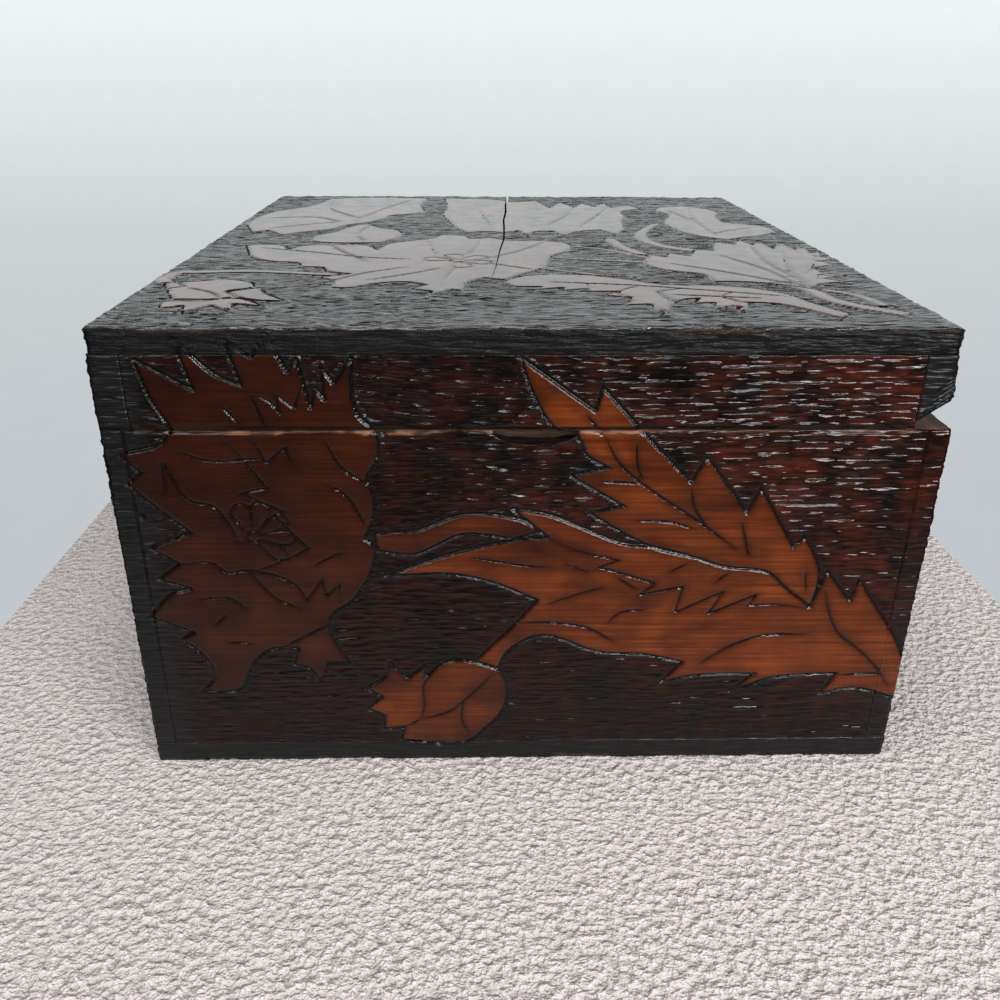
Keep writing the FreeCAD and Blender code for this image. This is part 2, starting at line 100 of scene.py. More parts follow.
def outside_level(body, face):
    """How far out a face of the case or the lid lies, along the way it looks."""
    axis, sign = FACES[face][3:]
    low, high = OUTSIDE[body]
    return high[axis] if sign > 0 else -low[axis]


def run_of(low, high, axis, sign):
    """Where a box starts and ends along an axis, counted the way of the sign."""
    return sorted((sign * low[axis], sign * high[axis]))


# Carving: how far the ground lies below the leaves, and how far these stand out of the CAD boards
SIDE_SINK, TOP_SINK = 0.26, 0.10
PROUD = 0.3
# Grooves: half widths, the share of them on the top, the slope of their sides, and how far off they count
OUTLINE_WIDTH, VEIN_WIDTH, FLECK_WIDTH = 0.65, 0.5, 0.4
TOP_LINE_SHARE = 0.75
GROOVE_SLOPE = 1.1
LINE_REACH = 6.0
# Half a grid cell with a little over, within which a point moves on to a groove's floor or lip
HALF_CELL = 0.51
# Gouge cuts: length, pitch and depth; they start this far from a groove, and are shallower low on the front
SIDE_GOUGE = (7.0, 1.5, 0.32)
TOP_GOUGE = (8.0, 2.0, 0.45)
EDGE_GOUGE = (12.0, 1.7, 0.5)
GOUGES_FROM = (0.5, 1.5)
SHALLOW_SHARE, SHALLOW_UP = 0.65, (20.0, 75.0)
# Patches in which tone and gouging vary
TONE_PATCH, GOUGE_PATCH = 23.0, 16.0
# Leaves: the height and size of their waves, and how deep and far they roll over at an outline
LEAF_WAVE, LEAF_WAVE_SIZE = 0.05, 9.0
LEAF_ROLL, LEAF_ROLL_REACH = 0.06, 0.45
# Wear: depth at open edges; depth and reach along joints; pitch, depth and reach of nicks at corners
EDGE_WEAR = 0.30
JOINT_WEAR, JOINT_REACH = 0.04, 0.25
NICK_PITCH, NICK_DEPTH, NICK_REACH = 2.9, 0.7, 2.0
# An old nail's hole in the front: place, radius and depth
NAIL_HOLE = (-98.0, 78.0, 1.0, 0.8)
# Where the front's ground turns red, and where its ends are charred, across and up; the red fades out
# towards the bottom as painted shade
RED_ACROSS, RED_UP = (-60.0, 70.0), (10.0, 70.0)
CHAR_LEFT, CHAR_RIGHT, CHAR_DOWN = (-88.0, -99.0), (94.0, 101.0), (90.0, 60.0)
# How far in the other sides' ends are charred, how near to a groove the ground is, and the height of the
# lid's lowest band, painted black as the shade in the seam's gap
SIDE_CHAR = (14.0, 2.0)
LINE_SCORCH = (1.7, 0.6)
SEAM_SHADE_BAND = 1.5


# Repeatable noise

def hashed(i, j, seed):
    """A repeatable number from 0 to 1 for each whole-number cell, its bits mixed by large numbers."""
    h = (np.asarray(i).astype(np.int64) * 73856093) ^ (np.asarray(j).astype(np.int64) * 19349663)
    h = (h ^ (seed * 83492791)) & 0xFFFFFFFF
    h = ((h ^ (h >> 13)) * 1274126177) & 0xFFFFFFFF
    h = ((h ^ (h >> 15)) * 2246822519) & 0xFFFFFFFF
    return ((h ^ (h >> 16)) & 0xFFFF) / 65535.0


def wander(x, y, size, seed):
    """Smooth noise from 0 to 1 whose lumps are about this size."""
    x, y = x / size, y / size
    i, j = np.floor(x), np.floor(y)
    s, t = x - i, y - j
    s, t = s * s * (3 - 2 * s), t * t * (3 - 2 * t)
    low = hashed(i, j, seed) * (1 - s) + hashed(i + 1, j, seed) * s
    high = hashed(i, j + 1, seed) * (1 - s) + hashed(i + 1, j + 1, seed) * s
    return low * (1 - t) + high * t


def ramp(value, start, end):
    """0 before start, 1 past end, eased between them."""
    t = np.clip((value - start) / (end - start), 0, 1)
    return t * t * (3 - 2 * t)


def scoops(x, y, length, pitch, seed):
    """How deep a point lies in rows of overlapping gouge cuts, 0 on their ridges."""
    y = y + 1.8 * pitch * (wander(x, y, 3 * length, seed) - 0.5)
    row = np.floor(y / pitch)
    deepest = np.zeros_like(x)
    for up in (-1, 0, 1):
        r = row + up
        shift = hashed(r, r, seed)
        column = np.floor(x / length - shift)
        for along in (-1, 0, 1):
            c = column + along
            centre_x = (c + shift + 0.5 + 0.55 * (hashed(c, r, seed + 1) - 0.5)) * length
            centre_y = (r + 0.5 + 0.5 * (hashed(c, r, seed + 2) - 0.5)) * pitch
            size = 0.7 + 0.6 * hashed(c, r, seed + 3)
            off = ((x - centre_x) / (0.62 * length * size)) ** 2 + ((y - centre_y) / (0.7 * pitch)) ** 2
            deepest = np.maximum(deepest, size * (1 - off))
    return np.clip(deepest, 0, 1.25)


# Drawing

ART = {face: {"fills": [], "lines": []} for face in FACES}
# The cosine of a turn below which a curve keeps its corner
SHARP_TURN = 0.45
# A petal's loop, in shares of its length and half width
PETAL = (
    (0, 0.25), (0.45, 0.8), (0.8, 1), (0.95, 0.55), (1, 0), (0.95, -0.6), (0.75, -1), (0.4, -0.7),
    (0, -0.25),
)


def smooth(points, closed=False, step=1.5):
    """A curve through the points that turns sharply only where they do."""
    p = np.array(points, float)
    n = len(p)
    spans = range(n if closed else n - 1)
    made = []

    def heading(i):
        before, after = (p[i % n] - p[(i - 1) % n], p[(i + 1) % n] - p[i % n])
        if not closed and i == 0:
            return after, after
        if not closed and i == n - 1:
            return before, before
        lengths = np.linalg.norm(before), np.linalg.norm(after)
        if before @ after < SHARP_TURN * lengths[0] * lengths[1]:
            return before, after
        mean = before / lengths[0] + after / lengths[1]
        mean = mean / np.linalg.norm(mean)
        return mean * lengths[0], mean * lengths[1]

    for i in spans:
        start, end = p[i % n], p[(i + 1) % n]
        out_of, into = heading(i)[1], heading((i + 1) % n if closed else i + 1)[0]
        count = max(2, int(np.linalg.norm(end - start) / step))
        for t in np.arange(count) / count:
            made.append(start * (2 * t**3 - 3 * t**2 + 1) + end * (3 * t**2 - 2 * t**3)
                        + out_of * (t**3 - 2 * t**2 + t) + into * (t**3 - t**2))
    made.append(p[0] if closed else p[-1])
    return np.array(made)


def outline(face, points, tone=1.0, width=OUTLINE_WIDTH):
    """A raised shape with a groove round it."""
    path = smooth(points, closed=True)
    ART[face]["fills"].append((path, tone))
    ART[face]["lines"].append((path, np.full(len(path), width)))


def score(face, points, width=VEIN_WIDTH):
    """A groove that starts and ends in a point."""
    path = smooth(points)
    along = np.linspace(0, 1, len(path))
    ART[face]["lines"].append((path, width * np.minimum(1, 0.3 + 4 * np.minimum(along, 1 - along))))


def blossom(face, centre, petals, heart=1.7):
    """Petals drawn as loops round a small ring; each petal is (angle in degrees, length, width)."""
    cx, cy = centre
    turn = np.radians(np.arange(0, 361, 30))
    score(face, [(cx + heart * math.cos(a), cy + heart * math.sin(a)) for a in turn], FLECK_WIDTH)
    for angle, length, wide in petals:
        a = math.radians(angle)
        out, side = np.array([math.cos(a), math.sin(a)]), np.array([-math.sin(a), math.cos(a)])
        loop = [centre + out * (heart + s * length) + side * (w * wide / 2) for s, w in PETAL]
        score(face, loop, FLECK_WIDTH)


def frond(face, base, tip, bend, half_width, teeth, tone=1.0):
    """A saw-edged leaf from base to tip, its spine bowed sideways by bend, with a midrib and side veins."""
    base, tip = np.array(base, float), np.array(tip, float)
    along = tip - base
    length = np.linalg.norm(along)
    side = np.array([-along[1], along[0]]) / length

    def spine(t):
        return base + along * t + side * (4 * bend * t * (1 - t))

    def width(t):
        return half_width * (math.sin(math.pi * min(1, t**0.75)) ** 0.8 + 0.04)

    edges = []
    for hand in (1, -1):
        edge = [spine(0) + side * hand * width(0.0)]
        for k in range(teeth):
            notch, point = (k + 0.55) / (teeth + 0.6), (k + 1.15) / (teeth + 0.6)
            edge.append(spine(notch) + side * hand * width(notch) * 0.62)
            edge.append(spine(point) + side * hand * width(point) * 1.15)
        edges.append(edge[:-1])
    outline(face, edges[0] + [spine(1.0)] + edges[1][::-1], tone)
    score(face, [spine(t) for t in (0.04, 0.3, 0.6, 0.92)])
    for k in range(1, teeth):
        root, end = (k + 0.1) / (teeth + 0.6), (k + 0.75) / (teeth + 0.6)
        for hand in (1, -1):
            middle = spine((root + end) / 2) + side * hand * width(end) * 0.3
            score(face, [spine(root), middle, spine(end) + side * hand * width(end) * 0.66], FLECK_WIDTH)


def stem(face, points, half_width, tone=1.0):
    """A raised stalk along the points, of the half width given at its start and end."""
    path = smooth(points, step=4)
    ahead = np.gradient(path, axis=0)
    side = np.stack([-ahead[:, 1], ahead[:, 0]], 1) / np.linalg.norm(ahead, axis=1)[:, None]
    wide = np.linspace(half_width[0], half_width[1], len(path))[:, None]
    outline(face, np.concatenate([path + side * wide, (path - side * wide)[::-1]]), tone, VEIN_WIDTH)


# How light the leaves are
BRIGHTEST, BRIGHT, DIM, BUD, STALK, DARK = 1.15, 1.0, 0.62, 0.58, 0.3, 0.15

# The front: u is x from the middle, v is height. A great leaf rises from the lower right over the seam
outline("front", [
    (-2.5, 119.5), (16, 106), (17.5, 112), (28, 100.5), (41, 87), (44.5, 94), (56, 78.5), (59, 85.5),
    (69.5, 68.5), (72, 72), (77.5, 60.5), (76.5, 50.5), (69, 56.5), (64, 61), (51.5, 63), (44.5, 65.5),
    (32, 69), (16, 78.5), (24.5, 80.5), (10.5, 89), (20, 91), (14, 95), (12, 99.5), (7, 101), (1, 110),
], BRIGHT)
outline("front", [
    (-37, 60.5), (-19.5, 67), (-5, 70.5), (5.5, 71.5), (-4, 80), (6, 78), (15, 74), (24.5, 70), (32, 69),
    (44.5, 65.5), (51.5, 63), (64, 61), (69, 56.5), (76.5, 50.5), (79.5, 61.5), (87, 52), (88.5, 59),
    (106, 30), (106, 20), (92, 24), (83, 22), (87, 29), (68.5, 27.5), (57.5, 23), (64, 29), (47, 28.5),
    (38, 26.5), (43.5, 33), (33, 35.5), (20, 36.5), (4.5, 42), (-1, 40), (-5.5, 36), (-7.5, 31),
    (-14, 33.5), (-3, 45.5), (3, 53), (-9, 58.5), (-19.5, 61),
], BRIGHTEST)
for vein in (
    [(18.5, 99.5), (22.5, 92.5), (28.5, 87), (45.5, 75), (54, 68.5)], [(14, 105), (18.5, 99.5)],
    [(26.5, 98), (27, 92.5), (28.5, 88)], [(41, 85.5), (42.5, 80), (46, 75)], [(55, 76), (58, 66)],
    [(18.5, 87.5), (28.5, 87)], [(28.5, 76.5), (37, 76), (43, 74)],
    [(5.5, 71.5), (13, 68), (24, 65), (19, 63), (34, 58), (30, 54.5), (41.5, 57), (40, 49), (52.5, 55.5),
     (49, 48.5), (61.5, 54.5), (59.5, 51), (65, 51.5), (76.5, 50)],
    [(48, 32.5), (55.5, 38), (64.5, 41.5), (76.5, 42)],
    [(79.5, 55.5), (82.5, 47), (85, 42.5), (91, 37.5), (97.5, 31), (102, 24.5)],
    [(-3, 46), (7.5, 46), (16, 44.5), (24, 40)], [(88, 28.5), (99.5, 29)],
):
    score("front", vein)
for fleck in (
    [(73.5, 61.5), (74.5, 55.5)], [(37.5, 61.5), (42, 64)], [(50, 58.5), (53.5, 61.5)],
    [(6, 52), (14, 55), (20, 57)], [(22, 46), (25, 49), (32, 50)], [(23.5, 60), (29, 56.5)],
    [(10, 64), (16, 61.5)], [(-14, 66), (0, 63.5), (6, 63)],
):
    score("front", fleck, FLECK_WIDTH)

# A stalk runs left from it to the dark spray, and a bud hangs below
outline("front", [
    (-39.5, 73), (-28, 74), (-18, 78), (-12, 78.5), (0, 76), (3, 73.5), (-3.5, 71.5), (-10.5, 72.5),
    (-17.5, 72.5), (-24.5, 69), (-29, 67), (-38.5, 68),
], STALK)
outline("front", [
    (-14, 33.5), (-20, 34), (-24, 32), (-27.5, 28.5), (-27, 33), (-32.5, 28), (-37, 33.5), (-38.5, 29),
    (-44, 25), (-39.5, 22), (-44, 18), (-39, 15.5), (-39.5, 11), (-33.5, 11.5), (-35, 7), (-16, 6.4),
    (-11, 11), (-6.5, 16.5), (-5, 25.5), (-7.5, 31),
], BUD)
for vein in (
    [(-24, 32), (-28, 26), (-28, 19.5), (-29, 14.5)], [(-9, 29.5), (-17, 20.5), (-21, 17), (-28.5, 14.5)],
    [(-17, 20.5), (-17.5, 13.5), (-15.5, 9.5)], [(-29, 14.5), (-33, 12)],
):
    score("front", vein)

# The dark spray on the left crosses the seam and runs up over the lid's edge
outline("front", [
    (-93.5, 119), (-80.5, 111.5), (-84, 124.5), (-74.5, 115), (-69, 112.5), (-72, 124), (-66, 119.5),
    (-62, 125), (-58, 116), (-55.5, 119), (-53, 107), (-51.5, 112), (-49.5, 109), (-50, 117.5),
    (-47, 113), (-42.5, 119.5), (-43, 110.5), (-42, 105.5), (-37.5, 100), (-38, 93), (-40.5, 89),
    (-39, 83.5), (-39.5, 77.5), (-42, 71.5), (-39.5, 69.5), (-40, 65), (-42.5, 58.5), (-46.5, 53),
    (-52.5, 48), (-52.5, 43), (-48, 33.5), (-54, 33.5), (-56.5, 27), (-58.5, 31.5), (-63, 33),
    (-61.5, 38.5), (-69, 38), (-74, 34), (-79, 25), (-89, 24.5), (-85, 30), (-86.5, 35), (-92.5, 41.5),
    (-89, 43.5), (-100, 48.5), (-94, 55), (-88, 57), (-96, 60), (-90, 64.5), (-97, 69), (-86, 73.5),
    (-94, 81), (-100, 87), (-96, 90), (-101, 95), (-90, 98), (-87, 101.5), (-91, 109.5),
], DARK)
for vein in (
    [(-67, 110.5), (-64, 101)],
    [(-67, 110.5), (-62.5, 108.5), (-60.5, 105.5), (-61, 110.5), (-57, 107), (-54.5, 113)],
    [(-74.5, 108), (-70.5, 103)], [(-91, 85), (-90.5, 93), (-85, 82.5), (-79.5, 81), (-73.5, 70.5)],
    [(-74.5, 98.5), (-72, 95.5), (-65.5, 86), (-72, 84.5), (-62, 79.5), (-64.5, 78.5), (-56.5, 69),
     (-61.5, 66), (-72, 62)],
    [(-50, 98.5), (-47, 92), (-40.5, 87)], [(-50.5, 87), (-46, 84), (-41.5, 75.5)],
    [(-90, 64.5), (-81, 64.5), (-78.5, 62), (-72, 62.5), (-60.5, 58), (-58, 53.5), (-53.5, 60),
     (-53, 54.5), (-49, 58.5), (-49.5, 52.5)],
    [(-67.5, 98.5), (-65, 92.5), (-60, 97), (-59, 93)], [(-86.5, 96), (-80, 93.5), (-65.5, 94)],
    [(-72, 62), (-66, 54), (-60, 51)], [(-53, 46), (-60, 42), (-66, 38.5)], [(-74, 40), (-80, 40.5)],
    [(-86, 54), (-78, 54), (-74, 51)], [(-83, 46), (-79, 50)], [(-48, 68), (-55, 64)],
):
    score("front", vein)
blossom("front", (-70, 72.5), [(112, 8, 5), (74, 8, 5), (32, 8.5, 4), (-4, 8.5, 4), (-40, 8, 4)])

# The top: u is x, v is y with the front at the bottom. Two leaves at the back left and one across the split
outline("top", [
    (-80, 110), (-86, 84), (-98, 66), (-101, 36), (-95, 14), (-90, 19), (-83, 8), (-77, 15), (-68, 21),
    (-62, 33), (-56, 38), (-50, 49), (-48, 58), (-40, 62), (-36, 68), (-38, 90), (-36, 112), (-58, 115),
], DIM)
outline("top", [
    (-55, 36), (-61, 28), (-65, 16), (-71, 6), (-69, -5), (-60, -8), (-46, -7), (-41, 5), (-42, 19),
    (-50, 27),
], DIM)
outline("top", [
    (-28, 112), (-26, 82), (-27, 62), (-24, 42), (-20, 23), (-17, 15), (-9, 18), (-4, 15), (2, 20),
    (5, 9), (9, 18), (15, 19), (18, 8), (25, 19), (33, 22), (37, 11), (42, 26), (44, 45), (47, 60),
    (48, 72), (57, 80), (54, 91), (45, 84), (43, 100), (38, 86), (33, 99), (29, 84), (24, 101), (18, 82),
    (14, 104), (2, 101), (-4, 109),
], DIM)
# The front left leaf, which the split also crosses
outline("top", [
    (-91, -13), (-80, -12), (-75, -20), (-71, -13), (-60, -12), (-50, -13), (-46, -21), (-43, -9),
    (-36, -3), (-30, 1), (-26, 9), (-18, 8), (-15, 1), (-8, 4), (0, -3), (8, -2), (18, -8), (17, -22),
    (11, -32), (9, -42), (7, -52), (1, -60), (-5, -69), (-11, -66), (-16, -74), (-17, -83), (-20, -82),
    (-26, -90), (-25, -84), (-31, -81), (-27, -76), (-33, -72), (-41, -74), (-48, -80), (-54, -79),
    (-53, -72), (-58, -66), (-50, -61), (-57, -57), (-59, -51), (-66, -50), (-68, -44), (-76, -42),
    (-84, -35), (-88, -23),
], DIM)
# The right flower, and the spiky leaf below it
outline("top", [
    (40, -38), (43, -28), (48, -33), (50, -25), (56, -31), (60, -19), (66, -21), (70, -3), (76, -9),
    (80, 3), (82, -10), (86, 0), (87, -17), (93, -3), (94, -19), (99, -7), (97, -25), (102, -21),
    (98, -31), (102, -35), (96, -39), (97, -45), (91, -50), (90, -58), (96, -62), (88, -66), (93, -71),
    (84, -74), (80, -80), (71, -74), (62, -71), (55, -71), (53, -60), (46, -56), (40, -49),
], DIM)
outline("top", [
    (-6, -72), (0, -64), (10, -61), (20, -62), (30, -66), (36, -73), (46, -76), (58, -77), (66, -81),
    (71, -87), (74, -96), (80, -109), (76, -114), (69, -103), (64, -98), (58, -97), (54, -107),
    (53, -100), (47, -105), (49, -97), (43, -98), (46, -92), (41, -94), (33, -110), (32, -99), (25, -100),
    (28, -91), (21, -89), (25, -84), (16, -84), (18, -80), (11, -83), (11, -79), (3, -82), (5, -78),
    (-3, -78),
], DIM)
outline("top", [
    (66, 84), (78, 89), (86, 80), (88, 70), (85, 60), (84, 48), (84, 41), (92, 37), (98, 30), (97, 18),
    (90, 10), (81, 5), (76, 1), (70, 5), (63, 16), (61, 26), (60, 37), (62, 48), (66, 62), (63, 74),
], DIM)
for band, half_width in (
    ([(72, -72), (78, -80), (81, -95), (94, -110)], (2.6, 2.8)),
    ([(82, -81), (89, -88), (92, -101)], (1.8, 2.3)),
    ([(57, 38), (51, 26), (46, 8), (50, -12), (59, -21)], (1.5, 3.0)),
    ([(34, 3), (36, -14), (41, -29)], (2.0, 2.6)), ([(19, -13), (29, -19), (41, -34)], (1.3, 1.8)),
    ([(11, -34), (24, -38), (40, -42)], (1.3, 1.8)), ([(7, -52), (20, -60), (32, -67)], (1.3, 1.8)),
    ([(-54, -62), (-80, -57), (-100, -59), (-102, -68), (-95, -80)], (1.9, 2.6)),
):
    stem("top", band, half_width, DIM)
# The bud at the front left
for points in (
    [(-100, -74), (-92, -72), (-84, -69), (-76, -73), (-74, -80), (-80, -84), (-76, -91), (-82, -94),
     (-92, -94), (-96, -84)],
    [(-80, -85), (-72, -80), (-69, -87), (-62, -96), (-70, -95), (-76, -91)],
    [(-94, -96), (-84, -96), (-76, -93), (-66, -102), (-75, -99), (-74, -108), (-80, -101), (-85, -109),
     (-87, -101), (-92, -105)],
):
    outline("top", points, DIM)
for vein in (
    [(-78, 104), (-74, 74), (-60, 50)], [(-96, 50), (-78, 52), (-66, 40)],
    [(-44, 104), (-52, 80), (-60, 50)], [(-90, 24), (-76, 34), (-66, 40)],
    [(-54, 32), (-56, 10), (-52, -4)], [(-14, 104), (-12, 70), (-8, 34)], [(12, 96), (12, 64), (8, 30)],
    [(30, 94), (24, 62), (14, 34)], [(44, 88), (36, 60), (26, 30)],
    [(-84, -18), (-66, -26), (-50, -34), (-34, -38)], [(-62, -14), (-56, -26), (-48, -40)],
    [(-56, -74), (-46, -60), (-34, -50)], [(-30, -4), (-28, -18), (-26, -30)],
    [(-12, -2), (-14, -18), (-16, -28)], [(10, -6), (0, -24), (-8, -34)],
    [(4, -54), (-4, -48), (-10, -44)], [(-22, -84), (-22, -66), (-20, -54)],
    [(-44, -70), (-32, -60), (-24, -52)], [(78, -76), (74, -52), (66, -30)],
    [(80, -78), (82, -50), (88, -24)], [(82, -76), (88, -60), (93, -64)],
    [(76, -74), (60, -56), (47, -44)], [(80, -70), (78, -44), (80, -14)],
    [(84, -60), (92, -44), (96, -30)], [(70, -90), (52, -83), (30, -76), (8, -72)],
    [(62, -92), (50, -90), (40, -88)], [(38, -96), (36, -84), (44, -80)],
    [(28, -96), (26, -84), (32, -77)], [(18, -82), (18, -74)], [(56, -97), (52, -90), (56, -85)],
    [(78, 82), (74, 50), (74, 10)], [(92, 28), (82, 22), (74, 14)], [(68, 74), (72, 50)],
    [(-92, -80), (-84, -86), (-80, -92)],
):
    score("top", vein)
blossom("top", (-19, -40), [(100, 9, 6), (40, 9, 6), (-20, 9, 6), (-80, 9, 6), (160, 9, 6)], 2.2)

# The ends carry sprays of the same leaves; the back is mostly ground
for face, hand in (("right", 1), ("left", -1)):
    frond(face, (-20 * hand, 22), (66 * hand, 82), 8 * hand, 21, 6, DIM)
    frond(face, (-20 * hand, 22), (-88 * hand, 70), -7 * hand, 18, 6, DIM)
    frond(face, (-21 * hand, 62), (-14 * hand, 118), 2 * hand, 13, 5, DIM)
    stem(face, [(-20 * hand, 26), (-22 * hand, 44), (-21 * hand, 62)], (2.0, 1.4), DIM)
    branch = [(-20, 24), (-10, 12), (20, 9), (70, 14), (96, 30)]
    stem(face, [(u * hand, v) for u, v in branch], (2.4, 1.4), DIM)
    frond(face, (70 * hand, 15), (106 * hand, 44), 2 * hand, 9, 4, DIM)
frond("back", (-30, 26), (48, 74), 8, 19, 6, DARK)
frond("back", (-30, 26), (-84, 62), -6, 15, 5, DARK)
stem("back", [(-30, 28), (-18, 15), (20, 11), (60, 18)], (2.4, 1.4), DARK)

for art in ART.values():
    art["from"] = np.concatenate([path[:-1] for path, width in art["lines"]])
    art["to"] = np.concatenate([path[1:] for path, width in art["lines"]])
    art["wide_from"] = np.concatenate([width[:-1] for path, width in art["lines"]])
    art["wide_to"] = np.concatenate([width[1:] for path, width in art["lines"]])


def inside(path, x, y):
    """Which points lie within a closed path."""
    found = np.zeros(len(x), bool)
    for (x0, y0), (x1, y1) in zip(path[:-1], path[1:]):
        if y0 == y1:
            continue
        spanned = np.flatnonzero((y0 > y) != (y1 > y))
        found[spanned] ^= x[spanned] < (x1 - x0) * (y[spanned] - y0) / (y1 - y0) + x0
    return found


def grooves(art, x, y, spacing, share):
    """How much of a groove's half width is left at each point, how near a groove is, and where it moves.

    The points nearest to a groove's floor and lips move on to them.
    """
    left = np.full_like(x, -LINE_REACH)
    near = np.full_like(x, LINE_REACH)
    new_x, new_y = x.copy(), y.copy()
    for a, b, wide_a, wide_b in zip(art["from"], art["to"], art["wide_from"], art["wide_to"]):
        low, high = np.minimum(a, b) - LINE_REACH, np.maximum(a, b) + LINE_REACH
        k = np.flatnonzero((x > low[0]) & (x < high[0]) & (y > low[1]) & (y < high[1]))
        if not k.size:
            continue
        run = b - a
        length = max(math.hypot(*run), 1e-6)
        half_cell = HALF_CELL * max(abs(run[1]) * spacing[0], abs(run[0]) * spacing[1]) / length
        t = np.clip(((x[k] - a[0]) * run[0] + (y[k] - a[1]) * run[1]) / length**2, 0, 1)
        off_x, off_y = x[k] - a[0] - t * run[0], y[k] - a[1] - t * run[1]
        away = np.hypot(off_x, off_y)
        wide = share * (wide_a + (wide_b - wide_a) * t)
        at_lip = (away > wide - half_cell) & (away < np.maximum(wide + half_cell, 3 * half_cell))
        settled = np.where(away < half_cell, 0, np.where(at_lip, wide, away))
        left[k] = np.maximum(left[k], wide - settled)
        closer = away < near[k]
        chosen = k[closer]
        near[chosen] = away[closer]
        shift = (settled / np.maximum(away, 1e-9) - 1)[closer]
        new_x[chosen] = x[chosen] + shift * off_x[closer]
        new_y[chosen] = y[chosen] + shift * off_y[closer]
    return left, near, new_x, new_y


def patchy(x, y, size, seed):
    """A share that strays from 0.6 to 1.4 in patches of about this size."""
    return 0.6 + 0.8 * wander(x, y, size, seed)


def wear(body, face, x, y, extent, seed):
    """Depth worn off: ragged at open edges, nicked at corners, a hair's breadth along joints."""
    u_axis, u_sign, v_axis = FACES[face][:3]
    low, high = OUTSIDE[body]
    ends = run_of(low, high, u_axis, u_sign)
    heights = {"lid": (SEAM, HEIGHT), "case": (0, SEAM)}[body]
    foot, head = heights if v_axis == 2 else (low[v_axis], high[v_axis])
    corner = np.minimum(x - ends[0], ends[1] - x)
    border = np.minimum(corner, np.minimum(y - foot, head - y))
    joint = np.minimum(np.minimum(x - extent[0], extent[1] - x), np.minimum(y - extent[2], extent[3] - y))
    ragged = 0.5 + 2.0 * wander(x, y, 3.5, seed + 7) * wander(x, y, 17, seed + 8)
    depth = EDGE_WEAR * ragged * np.clip(1 - border / ragged, 0, 1) ** 2
    depth = depth + JOINT_WEAR * np.exp(-joint / JOINT_REACH)
    if face != "top":
        nick = scoops(x * 0, y, 50.0, NICK_PITCH, seed + 21) * wander(x, y, 6, seed + 22)
        depth = depth + NICK_DEPTH * nick * np.exp(-corner / NICK_REACH)
    return depth


def burn_and_shade(body, face, x, y, raised, near, on_edge_board):
    """How red the ground is, with painted shade low on the front, and how charred the wood."""
    if face == "front":
        # Painted shade: the front's ground loses its red towards the bottom; it is also redder to the right
        red = 0.22 + 0.78 * ramp(x, *RED_ACROSS) * ramp(y, *RED_UP)
        end_grain = np.maximum(ramp(x, LID_RIGHT_JOINT - 0.6, LID_RIGHT_JOINT + 0.4),
                               ramp(x, LID_LEFT_JOINT + 0.6, LID_LEFT_JOINT - 0.4))
        char = np.maximum(end_grain * (y > SEAM), ramp(x, *CHAR_LEFT))
        char = np.maximum(char, 0.45 * ramp(x, *CHAR_RIGHT) * ramp(y, *CHAR_DOWN))
    elif face == "top":
        red, char = np.full(len(x), 0.1), np.full(len(x), 0.75)
    else:
        red = np.full(len(x), 0.45)
        char = 0.5 * ramp(HALF_DEPTH - np.abs(x), *SIDE_CHAR)
    char = np.where(on_edge_board, 1.0, char) * np.where(raised & ~on_edge_board, 0.25, 1.0)
    char = np.where(raised, char, np.maximum(char, 0.5 * ramp(near, *LINE_SCORCH)))
    if body == "case":
        char = np.maximum(char, 0.9 * ramp(CASE_HIGH[2] - y, -0.4, 0.2))
    return red, char


def rubbed(x, y, seed):
    """How bare the wood is rubbed, in patches along the case's rim and the lid's upper edge."""
    strip = 0.25 + 1.3 * wander(x, y * 0, 3.1, seed + 9) * ramp(wander(x, y * 0, 17, seed + 10), 0.25, 0.7)
    rim = ramp(strip - (SEAM - y), 0, 0.5) * (y <= SEAM) * (np.abs(x) < CASE_JOINT - 3)
    rim = rim * (0.15 + 0.85 * ramp(wander(x, y * 3, 2.1, seed + 11), 0.2, 0.8))
    rim = rim * (1 - 0.65 * ramp(x, 25, 45))
    edge = 1.6 * wander(x, y * 0, 7, seed + 12) * ramp(wander(x, y * 0, 24, seed + 13), 0.45, 0.75)
    return np.maximum(rim, 0.14 * ramp(edge - (HEIGHT - y), 0, 0.6))


